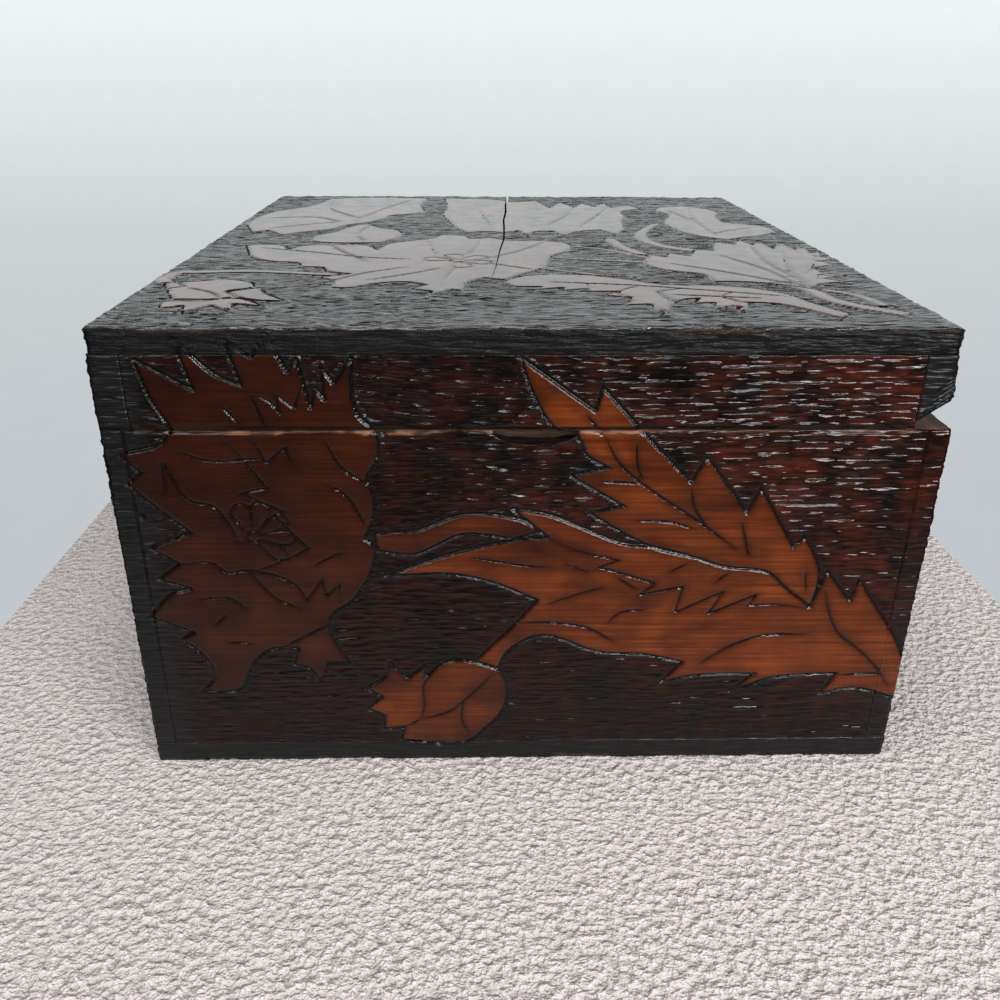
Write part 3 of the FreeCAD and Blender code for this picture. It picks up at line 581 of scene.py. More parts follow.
def carve(body, face, x, y, extent, spacing):
    """The carving at points of a face: depth, two sets of masks for the look, and where points move to.

    extent is that of the board itself.
    """
    on_top = face == "top"
    left, near, x_on, y_on = grooves(ART[face], x, y, spacing, TOP_LINE_SHARE if on_top else 1.0)
    seed = 11 * (1 + list(FACES).index(face))
    raised, tone = np.zeros(len(x), bool), np.zeros(len(x))
    for path, shade in ART[face]["fills"]:
        within = inside(path, x, y)
        raised |= within
        tone[within] = shade
    tone = tone * patchy(x, y, TONE_PATCH, seed + 30)

    # Gouged ground, leaves that roll over at their outlines, and grooves
    on_edge_board = (y > TOP_UNDERSIDE - TOUCH) & (not on_top)
    length, pitch, bite = TOP_GOUGE if on_top else SIDE_GOUGE
    bite = bite * patchy(x, y, GOUGE_PATCH, seed + 3)
    if face == "front":
        bite = bite * (SHALLOW_SHARE + (1 - SHALLOW_SHARE) * ramp(y, *SHALLOW_UP))
    dent = np.where(on_edge_board, scoops(x + 0.5 * y, y, *EDGE_GOUGE[:2], seed + 5),
                    scoops(x, y, length, pitch, seed))
    sink = TOP_SINK if on_top else SIDE_SINK
    ground = sink + np.where(on_edge_board, EDGE_GOUGE[2], bite) * dent * ramp(near, *GOUGES_FROM)
    leaf = LEAF_WAVE * wander(x, y, LEAF_WAVE_SIZE, seed) + LEAF_ROLL * np.exp(-near / LEAF_ROLL_REACH)
    cut = np.clip(left, 0, None) * GROOVE_SLOPE + np.where(raised, 0, 0.8 * sink)
    depth = np.maximum(np.where(raised, leaf, ground), cut) - (0 if face == "back" else PROUD)
    depth = depth + wear(body, face, x, y, extent, seed)

    # Masks
    groove = ramp(left, -0.05, 0.38)
    if face == "front":
        hole_x, hole_y, hole_radius, hole_depth = NAIL_HOLE
        pit = ramp(hole_radius - np.hypot(x - hole_x, y - hole_y), -0.4, 0.4)
        depth = depth + hole_depth * pit
        groove = np.maximum(groove, pit)
    worn = np.zeros(len(x))
    if not on_top:
        worn = rubbed(x, y, seed)
        # Painted shade: the lid's lowest band is painted black, as the shadow in the gap of the seam
        groove = np.maximum(groove, ramp(SEAM + SEAM_SHADE_BAND - y, 0, 0.6) * (y > SEAM))
    red, char = burn_and_shade(body, face, x, y, raised, near, on_edge_board)
    hollow = np.where(raised, 0.75 * np.exp(-near / 1.4), np.clip(dent, 0, 1))
    carving = np.stack([raised * 1.0, groove, hollow], 1)
    finish = np.stack([np.where(raised, tone, red), char, worn], 1)
    return depth, carving, finish, x_on, y_on


# Boards

def even(start, end, spacing, through=()):
    """Evenly spaced values from start to end, with the nearest moved on to the values to pass through."""
    made = np.linspace(start, end, int(round((end - start) / spacing)) + 1)
    for value in through:
        made[np.argmin(np.abs(made - value))] = value
    return made


# Kinds of a board's faces: its main face, its four edges and its back
MAIN, FOOT, RIGHT, HEAD, LEFT, BACK = range(6)
# Plain edges are scorched from the outside inward: how much at the start, and the depth over which 1 is lost
SCORCH_START, SCORCH_REACH = 1.3, 3.5
# Masks of a face that is black: scorch on plain edges, and painted shade on the walls that a cutter leaves
# in wood
SCORCH_AND_SHADE = (0, 1, 0)
# The unfolded map: the share of its height for the main face and edges, how far it is filled, its border
MAP_SHARE, MAP_FULL, MAP_BORDER = 0.8, 0.98, 0.01
# Points this near to the edge of a board stay where they are, so that its outline stays straight
STAY = 1.0


def shoulder_backs(last, nu, nv, first, final, count):
    """The back faces of a board that has its full thickness only from column first to column final.

    last is the lowest ring of its edges, and count the number of its points before the shoulder's four.
    """
    foot, head = last[:nu + 1], last[np.arange(nu + nv, 2 * nu + nv + 1) % len(last)][::-1]
    right_side = last[nu:nu + nv + 1]
    left_side = last[np.arange(2 * nu + nv, 2 * nu + 2 * nv + 1) % len(last)]
    foot_start, foot_end, head_end, head_start = range(count, count + 4)
    return [
        [*left_side, *foot[1:first + 1], *head[first:0:-1]],
        [*foot[final:-1], *right_side, *head[-2:final - 1:-1]],
        [foot[first], head[first], head_start, foot_start],
        [foot[final], foot_end, head_end, head[final]],
        [foot_start, foot_end, head_end, head_start],
        [*foot[first:final + 1], foot_end, foot_start],
        [*head[first:final + 1], head_end, head_start],
    ]


def carve_outside(body, face, place, box, scorch, spacing, row):
    """Carve a board's points on the box's outside: where they move, their masks, the faces they are on."""
    low, high = box
    moved = place.copy()
    carving, finish = np.zeros((2, *place.shape))
    finish[:, 1] = scorch
    done = np.zeros(len(place), bool)
    carved_faces = []
    for name, (u_axis, u_sign, v_axis, n_axis, n_sign) in FACES.items():
        on = np.flatnonzero(np.abs(place[:, n_axis] * n_sign - outside_level(body, name)) < TOUCH)
        if not on.size or (body == "case" and name == "top"):
            continue
        x, y = place[on, u_axis] * u_sign, place[on, v_axis]
        span = run_of(low, high, u_axis, u_sign) + [low[v_axis], high[v_axis]]
        cell = spacing if name == face else (row, spacing[1])
        depth, cut, tint, x_on, y_on = carve(body, name, x, y, span, cell)
        moved[on, n_axis] -= n_sign * depth
        inner = (x > span[0] + STAY) & (x < span[1] - STAY) & (y > span[2] + STAY) & (y < span[3] - STAY)
        moved[on[inner], u_axis] += u_sign * (x_on - x)[inner]
        moved[on[inner], v_axis] += (y_on - y)[inner]
        fresh = ~done[on]
        carving[on[fresh]], finish[on[fresh]] = cut[fresh], tint[fresh]
        done[on] = True
        carved_faces.append(name)
    return moved, carving, finish, carved_faces


def unfold(kind, u, v, down, span, skin):
    """Map places of face corners: the main face with its edges folded out, and the back above it, small."""
    u0, u1, v0, v1 = span
    down = np.minimum(down, skin)
    v = np.where(kind == FOOT, v0 - down, np.where(kind == HEAD, v1 + down, v))
    u = np.where(kind == RIGHT, u1 + down, np.where(kind == LEFT, u0 - down, u))
    margin = skin + 1
    tall = v1 - v0 + 2 * margin
    scale = min(1 / (u1 - u0 + 2 * margin), MAP_SHARE / tall)
    used = tall * scale
    small = min(MAP_FULL / (u1 - u0), (MAP_FULL - used) / (v1 - v0))
    map_u = np.where(kind == BACK, MAP_BORDER + (u - u0) * small, (u - u0 + margin) * scale)
    map_v = np.where(kind == BACK, used + MAP_BORDER + (v - v0) * small, (v - v0 + margin) * scale)
    return np.stack([map_u, map_v], 1)


def write_masks(mesh, title, values):
    """Keep three numbers for each corner of each face, for the looks to read."""
    data = mesh.attributes.new(title, "FLOAT_VECTOR", "CORNER")
    data.data.foreach_set("vector", np.asarray(values, np.float32).ravel())


def board(node, face, spacing, row, looks, shape=None, shoulder=None, face_grid=True):
    """A board in place of a CAD node, carved wherever it lies on the box's outside.

    spacing is that of the grid on its main face, row that of the grid down its edges. With a shoulder,
    (start, end, thickness), only that run of the board has its full thickness.
    """
    low, high = corners(node)
    body = body_of(node)
    u_axis, u_sign, v_axis, n_axis, n_sign = FACES[face]
    u0, u1 = run_of(low, high, u_axis, u_sign)
    v0, v1 = low[v_axis], high[v_axis]
    thick = high[n_axis] - low[n_axis]
    skin = shoulder[2] if shoulder else thick
    us = even(u0, u1, spacing[0], shoulder[:2] if shoulder else ())
    vs = even(v0, v1, spacing[1])
    nu, nv = len(us) - 1, len(vs) - 1
    rows = np.linspace(0, skin, int(round(skin / row)) + 1)

    # The main face's grid, then rings of the border going down the edges
    grid_u, grid_v = (grid.ravel() for grid in np.meshgrid(us, vs))
    index = np.arange(grid_u.size).reshape(nv + 1, nu + 1)
    ring = np.concatenate([index[0, :-1], index[:-1, -1], index[-1, :0:-1], index[:0:-1, 0]])
    u = np.concatenate([grid_u] + [grid_u[ring]] * (len(rows) - 1))
    v = np.concatenate([grid_v] + [grid_v[ring]] * (len(rows) - 1))
    down = np.concatenate([np.zeros(grid_u.size), np.repeat(rows[1:], len(ring))])
    quads = np.stack([index[:-1, :-1], index[:-1, 1:], index[1:, 1:], index[1:, :-1]], -1).reshape(-1, 4)
    faces = quads.tolist() if face_grid else [ring.tolist()]
    kinds = [MAIN] * len(faces)
    loops = [ring] + [grid_u.size + k * len(ring) + np.arange(len(ring)) for k in range(len(rows) - 1)]
    for upper, lower in zip(loops[:-1], loops[1:]):
        faces += np.stack([upper, lower, np.roll(lower, -1), np.roll(upper, -1)], -1).tolist()
        kinds += np.repeat((FOOT, RIGHT, HEAD, LEFT), (nu, nv, nu, nv)).tolist()
    if shoulder:
        first, final = (int(np.argmin(np.abs(us - end))) for end in shoulder[:2])
        backs = shoulder_backs(loops[-1], nu, nv, first, final, len(u))
        u = np.append(u, us[[first, final, final, first]])
        v = np.append(v, [v0, v0, v1, v1])
        down = np.append(down, [thick] * 4)
    else:
        backs = [loops[-1][::-1]]
    faces += [[int(k) for k in back] for back in backs]
    kinds = np.array(kinds + [BACK] * len(backs))
    if not face_grid:
        kept = np.unique(np.concatenate(faces))
        faces = [np.searchsorted(kept, f).tolist() for f in faces]
        u, v, down = u[kept], v[kept], down[kept]

    place = np.zeros((len(u), 3))
    place[:, u_axis], place[:, v_axis] = u_sign * u, v
    place[:, n_axis] = (high if n_sign > 0 else low)[n_axis] - n_sign * down
    scorch = np.clip(SCORCH_START - down / SCORCH_REACH, 0, 1)
    box = (low, high)
    moved, carving, finish, carved_faces = carve_outside(body, face, place, box, scorch, spacing, row)
    if shape:
        moved = shape(place, moved, finish)
    mesh = bpy.data.meshes.new(node + "_carved")
    mesh.from_pydata((moved * MM).tolist(), [], faces)

    # Carved faces get the first look, or the last of three along the edges, and plain ones the second
    kind_along = {(n_axis, n_sign): MAIN, (v_axis, -1): FOOT, (u_axis, u_sign): RIGHT, (v_axis, 1): HEAD,
                  (u_axis, -u_sign): LEFT}
    carved = np.isin(kinds, [kind_along[FACES[name][3:]] for name in carved_faces])
    edge_look = len(looks) - 1 if len(looks) > 2 else 0
    material = np.where(carved, np.where(kinds == MAIN, 0, edge_look), 1)
    mesh.polygons.foreach_set("material_index", material.astype(np.int32))
    mesh.polygons.foreach_set("use_smooth", carved & (kinds != BACK))

    sizes = [len(f) for f in faces]
    corner, kind = np.concatenate(faces), np.repeat(kinds, sizes)
    plain = (kind == BACK) | ((kind == MAIN) & (not face_grid))
    plain_edge = ~np.repeat(carved, sizes)
    scorch = np.maximum(finish[:, 1], scorch)
    finish = np.where(plain_edge[:, None], SCORCH_AND_SHADE * scorch[corner, None], finish[corner])
    for title, values in (("carving", carving[corner]), ("finish", finish)):
        write_masks(mesh, title, np.where(plain[:, None], 0, values))
    places = unfold(kind, u[corner], v[corner], down[corner], (u0, u1, v0, v1), skin)
    mesh.uv_layers.new(name="OFBake").data.foreach_set("uv", places.astype(np.float32).ravel())
    piece = add(node + "_carved", mesh, *looks)
    mesh.validate()
    stand_for(piece, node)
    return piece


# Hinge gains: their clearance round a leaf, and how far their cutters pass the board
GAIN_CLEARANCE, CUT_PAST = 0.1, 2.0
# Brads: how far they are set back, their bevel, and the shares of their width at the tip and the head
BRAD_SETBACK, BRAD_BEVEL, BRAD_TIP, BRAD_HEAD = 0.5, 0.15, 0.6, 0.7
SQUARE = ((-1, -1), (1, -1), (1, 1), (-1, 1))
# Screws: sides, the thread's pitch, share of the shank and first turn, and the point's length in shanks
SCREW_SIDES, THREAD_PITCH, THREAD_SHARE, THREAD_START, POINT_LENGTH = 24, 0.9, 0.3, 0.3, 2.5
THREAD_STEPS = 6
# Slots: width and depth, and how far their cutters pass the head at the sides and outward
SLOT_WIDTH, SLOT_DEPTH, SLOT_PAST, SLOT_RISE = 0.55, 0.45, 0.5, 1.0
# The first slot's turn and each next one's, in degrees
SLOT_TURN, SLOT_TURN_STEP = 20, 47
# Points of a solid this near to each other, in metres, are one
SAME_PLACE = 1e-6


def prism(plan, low, high):
    """A closed upright block over a plan outline to cut with; the walls it leaves in wood are painted black,
    as painted shade.
    """
    count = len(plan)
    points = [(x * MM, y * MM, z * MM) for z in (low, high) for x, y in plan]
    walls = [[k, (k + 1) % count, count + (k + 1) % count, count + k] for k in range(count)]
    mesh = bpy.data.meshes.new("cutter")
    mesh.from_pydata(points, [], walls + [list(range(count))[::-1], list(range(count, 2 * count))])
    # Painted shade: the walls this block leaves in wood are marked black
    for title in ("carving", "finish"):
        write_masks(mesh, title, np.tile(SCORCH_AND_SHADE, (len(mesh.loops), 1)))
    mesh.uv_layers.new(name="OFBake")
    return add("cutter", mesh)


def cut_away(piece, cutters):
    """Take the cutters out of a piece, for good."""
    for cutter in cutters:
        cutter.data.materials.append(piece.data.materials[min(1, len(piece.data.materials) - 1)])
        modifier = piece.modifiers.new("cut", "BOOLEAN")
        modifier.object, modifier.solver = cutter, "MANIFOLD"
    scene_state = bpy.context.evaluated_depsgraph_get()
    solid = bpy.data.meshes.new_from_object(piece.evaluated_get(scene_state), depsgraph=scene_state)
    piece.modifiers.clear()
    piece.data = solid
    for cutter in cutters:
        bpy.data.objects.remove(cutter)


def separate_solids(node):
    """The corner points of each separate solid in a CAD node, in millimetres."""
    shape = bmesh.new()
    shape.from_mesh(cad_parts[node].data)
    bmesh.ops.remove_doubles(shape, verts=shape.verts, dist=SAME_PLACE)
    seen, solids = set(), []
    for first in shape.verts:
        if first in seen:
            continue
        seen.add(first)
        group, todo = [], [first]
        while todo:
            point = todo.pop()
            group.append(point.co / MM)
            others = [edge.other_vert(point) for edge in point.link_edges]
            fresh = [other for other in others if other not in seen]
            seen.update(fresh)
            todo += fresh
        solids.append(np.array(group))
    shape.free()
    return solids


def closed_mesh(name, points, walls):
    """A mesh of points in millimetres whose faces all look outward."""
    mesh = bpy.data.meshes.new(name)
    mesh.from_pydata((np.array(points) * MM).tolist(), [], walls)
    shape = bmesh.new()
    shape.from_mesh(mesh)
    bmesh.ops.recalc_face_normals(shape, faces=shape.faces)
    shape.to_mesh(mesh)
    shape.free()
    return mesh


def set_brads(node):
    """A node's brads again, each with its outer end dressed back to the carved ground."""
    points, walls = [], []
    for group in separate_solids(node):
        low, high = group.min(0), group.max(0)
        axis = int(np.argmax(high - low))
        sign = 1 if axis == 2 or low[axis] + high[axis] > 0 else -1
        outer, inner = (high[axis], low[axis]) if sign > 0 else (low[axis], high[axis])
        across = [a for a in range(3) if a != axis]
        base = len(points)
        head = outer - sign * BRAD_SETBACK
        for level, share in ((inner, BRAD_TIP), (head - sign * BRAD_BEVEL, 1), (head, BRAD_HEAD)):
            for corner in SQUARE:
                spot = (low + high) / 2
                spot[axis] = level
                spot[across] += np.array(corner) * share * (high - low)[across] / 2
                points.append(spot)
        for ring in (base, base + 4):
            walls += [[ring + k, ring + (k + 1) % 4, ring + 4 + (k + 1) % 4, ring + 4 + k] for k in range(4)]
        walls += [[base + k for k in range(4)][::-1], [base + 8 + k for k in range(4)]]
    mesh = closed_mesh(node + "_set", points, walls)
    stand_for(add(node + "_set", mesh, steel), node)


def set_screws(node):
    """A node's countersunk screws again, with a slot in each head and a thread down to a point."""
    points, walls, slots = [], [], []
    n = SCREW_SIDES
    turns = np.arange(n) / n
    down = -1 if body_of(node) == "case" else 1
    for number, group in enumerate(separate_solids(node)):
        low, high = group.min(0), group.max(0)
        middle, radius = (low + high) / 2, (high[0] - low[0]) / 2
        head, tip = (high[2], low[2]) if down < 0 else (low[2], high[2])
        across = np.hypot(group[:, 0] - middle[0], group[:, 1] - middle[1])
        shank = across[np.abs(group[:, 2] - tip) < TOUCH].max()
        reach, neck = abs(tip - head), radius - shank
        threads = np.arange(neck + THREAD_START, reach, THREAD_PITCH / THREAD_STEPS)
        levels = np.concatenate([[0.0, neck], threads, [reach]])
        base = len(points)
        for level in levels:
            ridge = np.abs(2 * ((level / THREAD_PITCH - turns) % 1) - 1)
            core = min(1, (reach - level) / (POINT_LENGTH * shank))
            threaded = shank * core * (1 - THREAD_SHARE * ridge)
            ring = threaded if level > neck else np.full(n, max(radius - level, shank))
            for a, r in zip(2 * math.pi * turns, ring):
                x, y = middle[0] + r * math.cos(a), middle[1] + r * math.sin(a)
                points.append((x, y, head + down * level))
        last = base + (len(levels) - 1) * n
        for k in range(base, last, n):
            walls += [[k + s, k + (s + 1) % n, k + n + (s + 1) % n, k + n + s] for s in range(n)]
        points[last:] = [(middle[0], middle[1], tip)]
        walls[-n:] = [[last - n + s, last - n + (s + 1) % n, last] for s in range(n)]
        walls.append([base + s for s in range(n)])
        a = math.radians(SLOT_TURN + SLOT_TURN_STEP * number)
        along_slot, over = np.array([math.cos(a), math.sin(a)]), np.array([-math.sin(a), math.cos(a)])
        half_slot = radius + SLOT_PAST
        plan = [middle[:2] + along_slot * i * half_slot + over * j * SLOT_WIDTH / 2 for i, j in SQUARE]
        slots.append((plan, *sorted((head - down * SLOT_RISE, head + down * SLOT_DEPTH))))
    piece = add(node + "_slotted", closed_mesh(node + "_slotted", points, walls), brass)
    cut_away(piece, [prism(*slot) for slot in slots])
    stand_for(piece, node)


# Materials

# The middle of the noise's range, which nearly all of it lies in
NOISE_MIDDLE = (0.3, 0.7)


class Look:
    """A material's nodes, with short names for the ones used here."""

    def __init__(self, name):
        self.material = bpy.data.materials.new(name)
        self.material.use_nodes = True
        self.tree = self.material.node_tree
        self.shader = self.tree.nodes["Principled BSDF"]
        self.spot = self.node("ShaderNodeTexCoord").outputs["Object"]

    def node(self, kind, **settings):
        made = self.tree.nodes.new(kind)
        for key, value in settings.items():
            setattr(made, key, value)
        return made

    def put(self, socket, value):
        if isinstance(value, bpy.types.NodeSocket):
            self.tree.links.new(value, socket)
        else:
            socket.default_value = value

    def set(self, name, value):
        self.put(self.shader.inputs[name], value)

    def maths(self, operation, a, b, clamp=False):
        made = self.node("ShaderNodeMath", operation=operation, use_clamp=clamp)
        self.put(made.inputs[0], a)
        self.put(made.inputs[1], b)
        return made.outputs[0]

    def times(self, a, b):
        return self.maths("MULTIPLY", a, b)

    def plus(self, a, b):
        return self.maths("ADD", a, b)

    def mix(self, share, a, b):
        made = self.node("ShaderNodeMix", data_type="RGBA")
        self.put(made.inputs[0], share)
        for socket, value in ((made.inputs[6], a), (made.inputs[7], b)):
            self.put(socket, (*value, 1) if isinstance(value, tuple) else value)
        return made.outputs[2]

    def stretch(self, value, start, end, low=0.0, high=1.0):
        """A value brought from between start and end to between low and high."""
        made = self.node("ShaderNodeMapRange")
        self.put(made.inputs["Value"], value)
        for name, number in (("From Min", start), ("From Max", end), ("To Min", low), ("To Max", high)):
            made.inputs[name].default_value = number
        return made.outputs[0]

    def along_axis(self, axis, start, end, low=0.0, high=1.0):
        """A value that goes from low to high between two places on an axis, in metres."""
        place = self.node("ShaderNodeSeparateXYZ")
        self.put(place.inputs[0], self.spot)
        return self.stretch(place.outputs[axis], start, end, low, high)

    def noise(self, lumps, detail=2.0, low=0.0, high=1.0):
        """Noise with this many lumps a metre, one number or one for each axis, running from low to high."""
        place = self.node("ShaderNodeVectorMath", operation="MULTIPLY")
        self.put(place.inputs[0], self.spot)
        place.inputs[1].default_value = lumps if isinstance(lumps, tuple) else (lumps,) * 3
        cloud = self.node("ShaderNodeTexNoise")
        self.put(cloud.inputs["Vector"], place.outputs[0])
        cloud.inputs["Scale"].default_value = 1.0
        cloud.inputs["Detail"].default_value = detail
        return self.stretch(cloud.outputs[0], *NOISE_MIDDLE, low, high)

    def masks(self, name):
        read = self.node("ShaderNodeAttribute", attribute_name=name)
        split = self.node("ShaderNodeSeparateXYZ")
        self.put(split.inputs[0], read.outputs["Vector"])
        return split.outputs

    def bump(self, height, distance, strength=1.0):
        made = self.node("ShaderNodeBump")
        made.inputs["Strength"].default_value = strength
        made.inputs["Distance"].default_value = distance
        self.put(made.inputs["Height"], height)
        self.set("Normal", made.outputs[0])


def along(axis, length, width):
    """Lumps a metre for streaks of this length and width, in millimetres, along an axis."""
    lumps = [1000 / width] * 3
    lumps[axis] = 1000 / length
    return tuple(lumps)


def carved_wood(name, axis, stroke_axis, gloss, stroke=(9.0, 0.9, 3.0), dulled=0.16):
    """Varnished, burnt wood whose masks say where it is leaf, ground, groove, charred or bare.

    axis is that of the grain, stroke_axis that of the gouge strokes, and stroke their length, width and
    height. dulled is how much rougher charred wood is.
    """
    look = Look(name)
    leaf, groove, hollow = look.masks("carving")
    tone, char, worn = look.masks("finish")
    grain = look.noise(along(axis, 40, 0.9), 4.0)
    fine = look.noise(along(axis, 14, 0.45), 2.0)
    patch = look.noise(75, 4.0)
    strokes = look.noise(along(stroke_axis, *stroke[:2]), 1.0)
    amber = look.mix(grain, (0.095, 0.0172, 0.0036), (0.250, 0.0570, 0.0110))
    amber = look.mix(look.times(fine, 0.45), amber, (0.045, 0.0080, 0.0028))
    amber = look.mix(look.times(patch, 0.75), amber, (0.052, 0.0092, 0.0034))
    toned = look.times(tone, look.noise(along(axis, 26, 10), 4.0, 0.35, 1.75))
    amber = look.mix(look.maths("SUBTRACT", 1.0, toned, clamp=True), amber, (0.0090, 0.0030, 0.0024))
    amber = look.mix(look.times(hollow, 0.85), amber, (0.012, 0.0032, 0.0020))
    red = look.times(tone, look.noise(110, 3.0, -0.1, 1.0))
    # Painted shade: the ground's red is kept to the gouges' hollows, and the ridges between them are painted
    # dark, as the shade between gouge strokes
    red = look.times(red, look.plus(look.times(hollow, 0.7), 0.2))
    red = look.times(red, look.plus(look.times(strokes, 0.8), 0.4))
    ground = look.mix(red, (0.0034, 0.0022, 0.0021), (0.085, 0.0140, 0.0055))
    colour = look.mix(leaf, ground, amber)
    colour = look.mix(char, colour, look.mix(fine, (0.0038, 0.0037, 0.0039), (0.011, 0.0105, 0.0106)))
    # Grooves are burnt black; the lid's lowest band is painted black too, as painted shade in the seam's gap
    colour = look.mix(groove, colour, (0.0035, 0.0028, 0.0026))
    bare = look.mix(fine, (0.12, 0.045, 0.020), (0.36, 0.170, 0.085))
    colour = look.mix(look.times(worn, look.noise(300, 2.0, 0.5, 1.0)), colour, bare)
    look.set("Base Color", colour)
    rough = look.plus(look.noise(160, 3.0, 0.11, 0.24), look.times(worn, 0.3))
    look.set("Roughness", look.plus(rough, look.times(char, dulled)))
    look.set("Specular IOR Level", gloss)
    on_ground = look.maths("SUBTRACT", 1.0, look.maths("MAXIMUM", leaf, groove), clamp=True)
    strokes = look.times(strokes, look.times(on_ground, stroke[2]))
    look.bump(look.plus(strokes, look.times(look.plus(fine, grain), 0.5)), 0.00005)
    return look.material


def plain_wood(name, axis):
    """Unvarnished wood for the insides, darkened towards the burnt outside, and painted dark on the walls of
    cuts as painted shade.
    """
    look = Look(name)
    char = look.masks("finish")[1]
    grain = look.noise(along(axis, 70, 2.2), 4.0)
    fine = look.noise(along(axis, 16, 0.5), 2.0)
    colour = look.mix(grain, (0.115, 0.050, 0.022), (0.210, 0.105, 0.050))
    colour = look.mix(look.times(fine, 0.4), colour, (0.080, 0.034, 0.016))
    colour = look.mix(look.noise(22, 3.0, 0.0, 0.45), colour, (0.070, 0.032, 0.017))
    # Scorch from the outside, and painted shade on the walls of cuts, darken the wood here
    colour = look.mix(look.times(char, 0.85), colour, (0.012, 0.0085, 0.0075))
    look.set("Base Color", colour)
    look.set("Roughness", look.noise(150, 2.0, 0.5, 0.68))
    look.set("Specular IOR Level", 0.15)
    look.bump(look.plus(fine, grain), 0.00008, 0.6)
    return look.material


def metal(name, bright, dull, rough):
    """Old metal, tarnished in patches."""
    look = Look(name)
    look.set("Base Color", look.mix(look.noise(420, 4.0), bright, dull))
    look.set("Metallic", 1.0)
    look.set("Roughness", look.noise(600, 3.0, rough - 0.1, rough + 0.15))
    look.bump(look.noise(1500, 2.0), 0.00004, 0.5)
    return look.material


# Carved and plain wood with the grain along x and along y
wood = [(carved_wood("carved_wood_" + letter, axis, axis, 0.24), plain_wood("plain_wood_" + letter, axis))
        for axis, letter in enumerate("xy")]
side_wood = (*wood[1], wood[0][0])
top_wood = (carved_wood("carved_wood_top", 1, 0, 0.85, (14.0, 1.2, 9.0), 0.04), wood[1][1],
            carved_wood("carved_wood_edge", 1, 0, 0.13, (6.0, 0.6, 4.5)))
brass = metal("old_brass", (0.36, 0.235, 0.085), (0.11, 0.070, 0.030), 0.38)
steel = metal("old_steel", (0.16, 0.15, 0.14), (0.045, 0.032, 0.026), 0.5)

# The finger chip in the front's top edge: its middle, half width, drop, and reach inward
CHIP_CENTRE, CHIP_HALF_WIDTH, CHIP_DROP, CHIP_REACH = 1.6, 10.8, 4.0, 4.5


def finger_chip(place, moved, finish):
    """The shallow shell broken out of the front panel's top edge: a quarter of a hollow ellipsoid."""
    run = (place[:, 0] - CHIP_CENTRE) / CHIP_HALF_WIDTH
    back, drop = (place[:, 1] + HALF_DEPTH) / CHIP_REACH, (SEAM - place[:, 2]) / CHIP_DROP
    radius = np.sqrt(np.clip(1 - run**2, 0, 1))
    on_front, on_top = back < 0.01, drop < 0.01
    hit = (np.abs(run) < 1) & ((on_front & (drop < radius)) | (on_top & (back < radius)))
    safe = np.maximum(radius, 1e-3)
    turn = np.where(on_front, 1 - drop / safe, 1 + back / safe) * math.pi / 4
    rough = 0.35 * (wander(place[:, 0], place[:, 2] + place[:, 1], 1.6, 91) - 0.5)
    moved[hit, 1] = (-HALF_DEPTH + CHIP_REACH * safe * np.sin(turn) + rough)[hit]
    moved[hit, 2] = (SEAM - CHIP_DROP * safe * np.cos(turn) + rough)[hit]
    finish[hit, 1] = 0.75
    finish[hit, 2] = 0
    return moved


# Wear of the lid, as in the solids: the right rail's broken corner and lean, the top's worn end
BREAK_OUTER, BREAK_INNER, BREAK_LENGTH = 7.2, 1.8, 38.0
END_WEAR = 1.5
RAIL_LEAN = 1.0
# The split, from the back: x, y and the gap there; how far its cutter passes the board; and the step,
# stray and wave of its lips
SPLIT_PAST = 1.0
SPLIT = [(0.8, HALF_DEPTH + SPLIT_PAST, 0.9), (-3.9, 2.0, 0.6), (-9.1, -76.0, 0.0)]
SPLIT_STEP, SPLIT_STRAY, SPLIT_WAVE = 0.07, 0.9, 23.0


def broken_corner(place, moved, finish):
    """The right rail, leaning out a little, its lower front corner split away along the grain."""
    inner = LID_RIGHT_JOINT
    across = np.clip((place[:, 0] - inner) / (LID_HIGH[0] - inner), 0, 1)
    along_rail = np.clip(1 - (place[:, 1] + HALF_DEPTH) / BREAK_LENGTH, 0, 1)
    rough = 1 + 0.35 * (wander(place[:, 0] * 2, place[:, 1], 3.0, 57) - 0.5)
    lift = (BREAK_INNER + (BREAK_OUTER - BREAK_INNER) * across) * along_rail * rough
    height = place[:, 2] - SEAM
    squeezed = np.clip(1 - height / np.maximum(2.0 * lift, 1e-3), 0, 1)
    moved[:, 2] += lift * squeezed
    below_top = np.clip((TOP_UNDERSIDE - place[:, 2]) / (TOP_UNDERSIDE - SEAM), 0, 1)
    moved[:, 0] += RAIL_LEAN * ramp(across, 0.9, 1) * below_top
    finish[:, 1] = np.maximum(finish[:, 1], 0.7 * (squeezed > 0.3))
    return moved


def worn_end(place, moved, finish):
    """The top board's left end, worn back below so that the rail stands out under it."""
    below = np.clip((HEIGHT - place[:, 2]) / (HEIGHT - TOP_UNDERSIDE), 0, 1)
    hit = place[:, 0] < LID_LOW[0] + TOUCH
    moved[hit, 0] += (END_WEAR * below**1.5 * (0.7 + 0.6 * wander(place[:, 1], place[:, 2], 7, 41)))[hit]
    return moved


def split_outline():
    """The plan outline of the split: up one ragged lip and down the other."""
    lips = ([], [])
    for (x0, y0, gap0), (x1, y1, gap1) in zip(SPLIT[:-1], SPLIT[1:]):
        for t in np.arange(0, 1, SPLIT_STEP):
            y = y0 + (y1 - y0) * t
            stray = SPLIT_STRAY * (wander(np.array([y]), np.array([0.0]), SPLIT_WAVE, 77)[0] - 0.5)
            middle, half = x0 + (x1 - x0) * t + stray, (gap0 + (gap1 - gap0) * t) / 2
            lips[0].append((middle - half, y))
            lips[1].append((middle + half, y))
    return lips[0] + [SPLIT[-1][:2]] + lips[1][::-1]


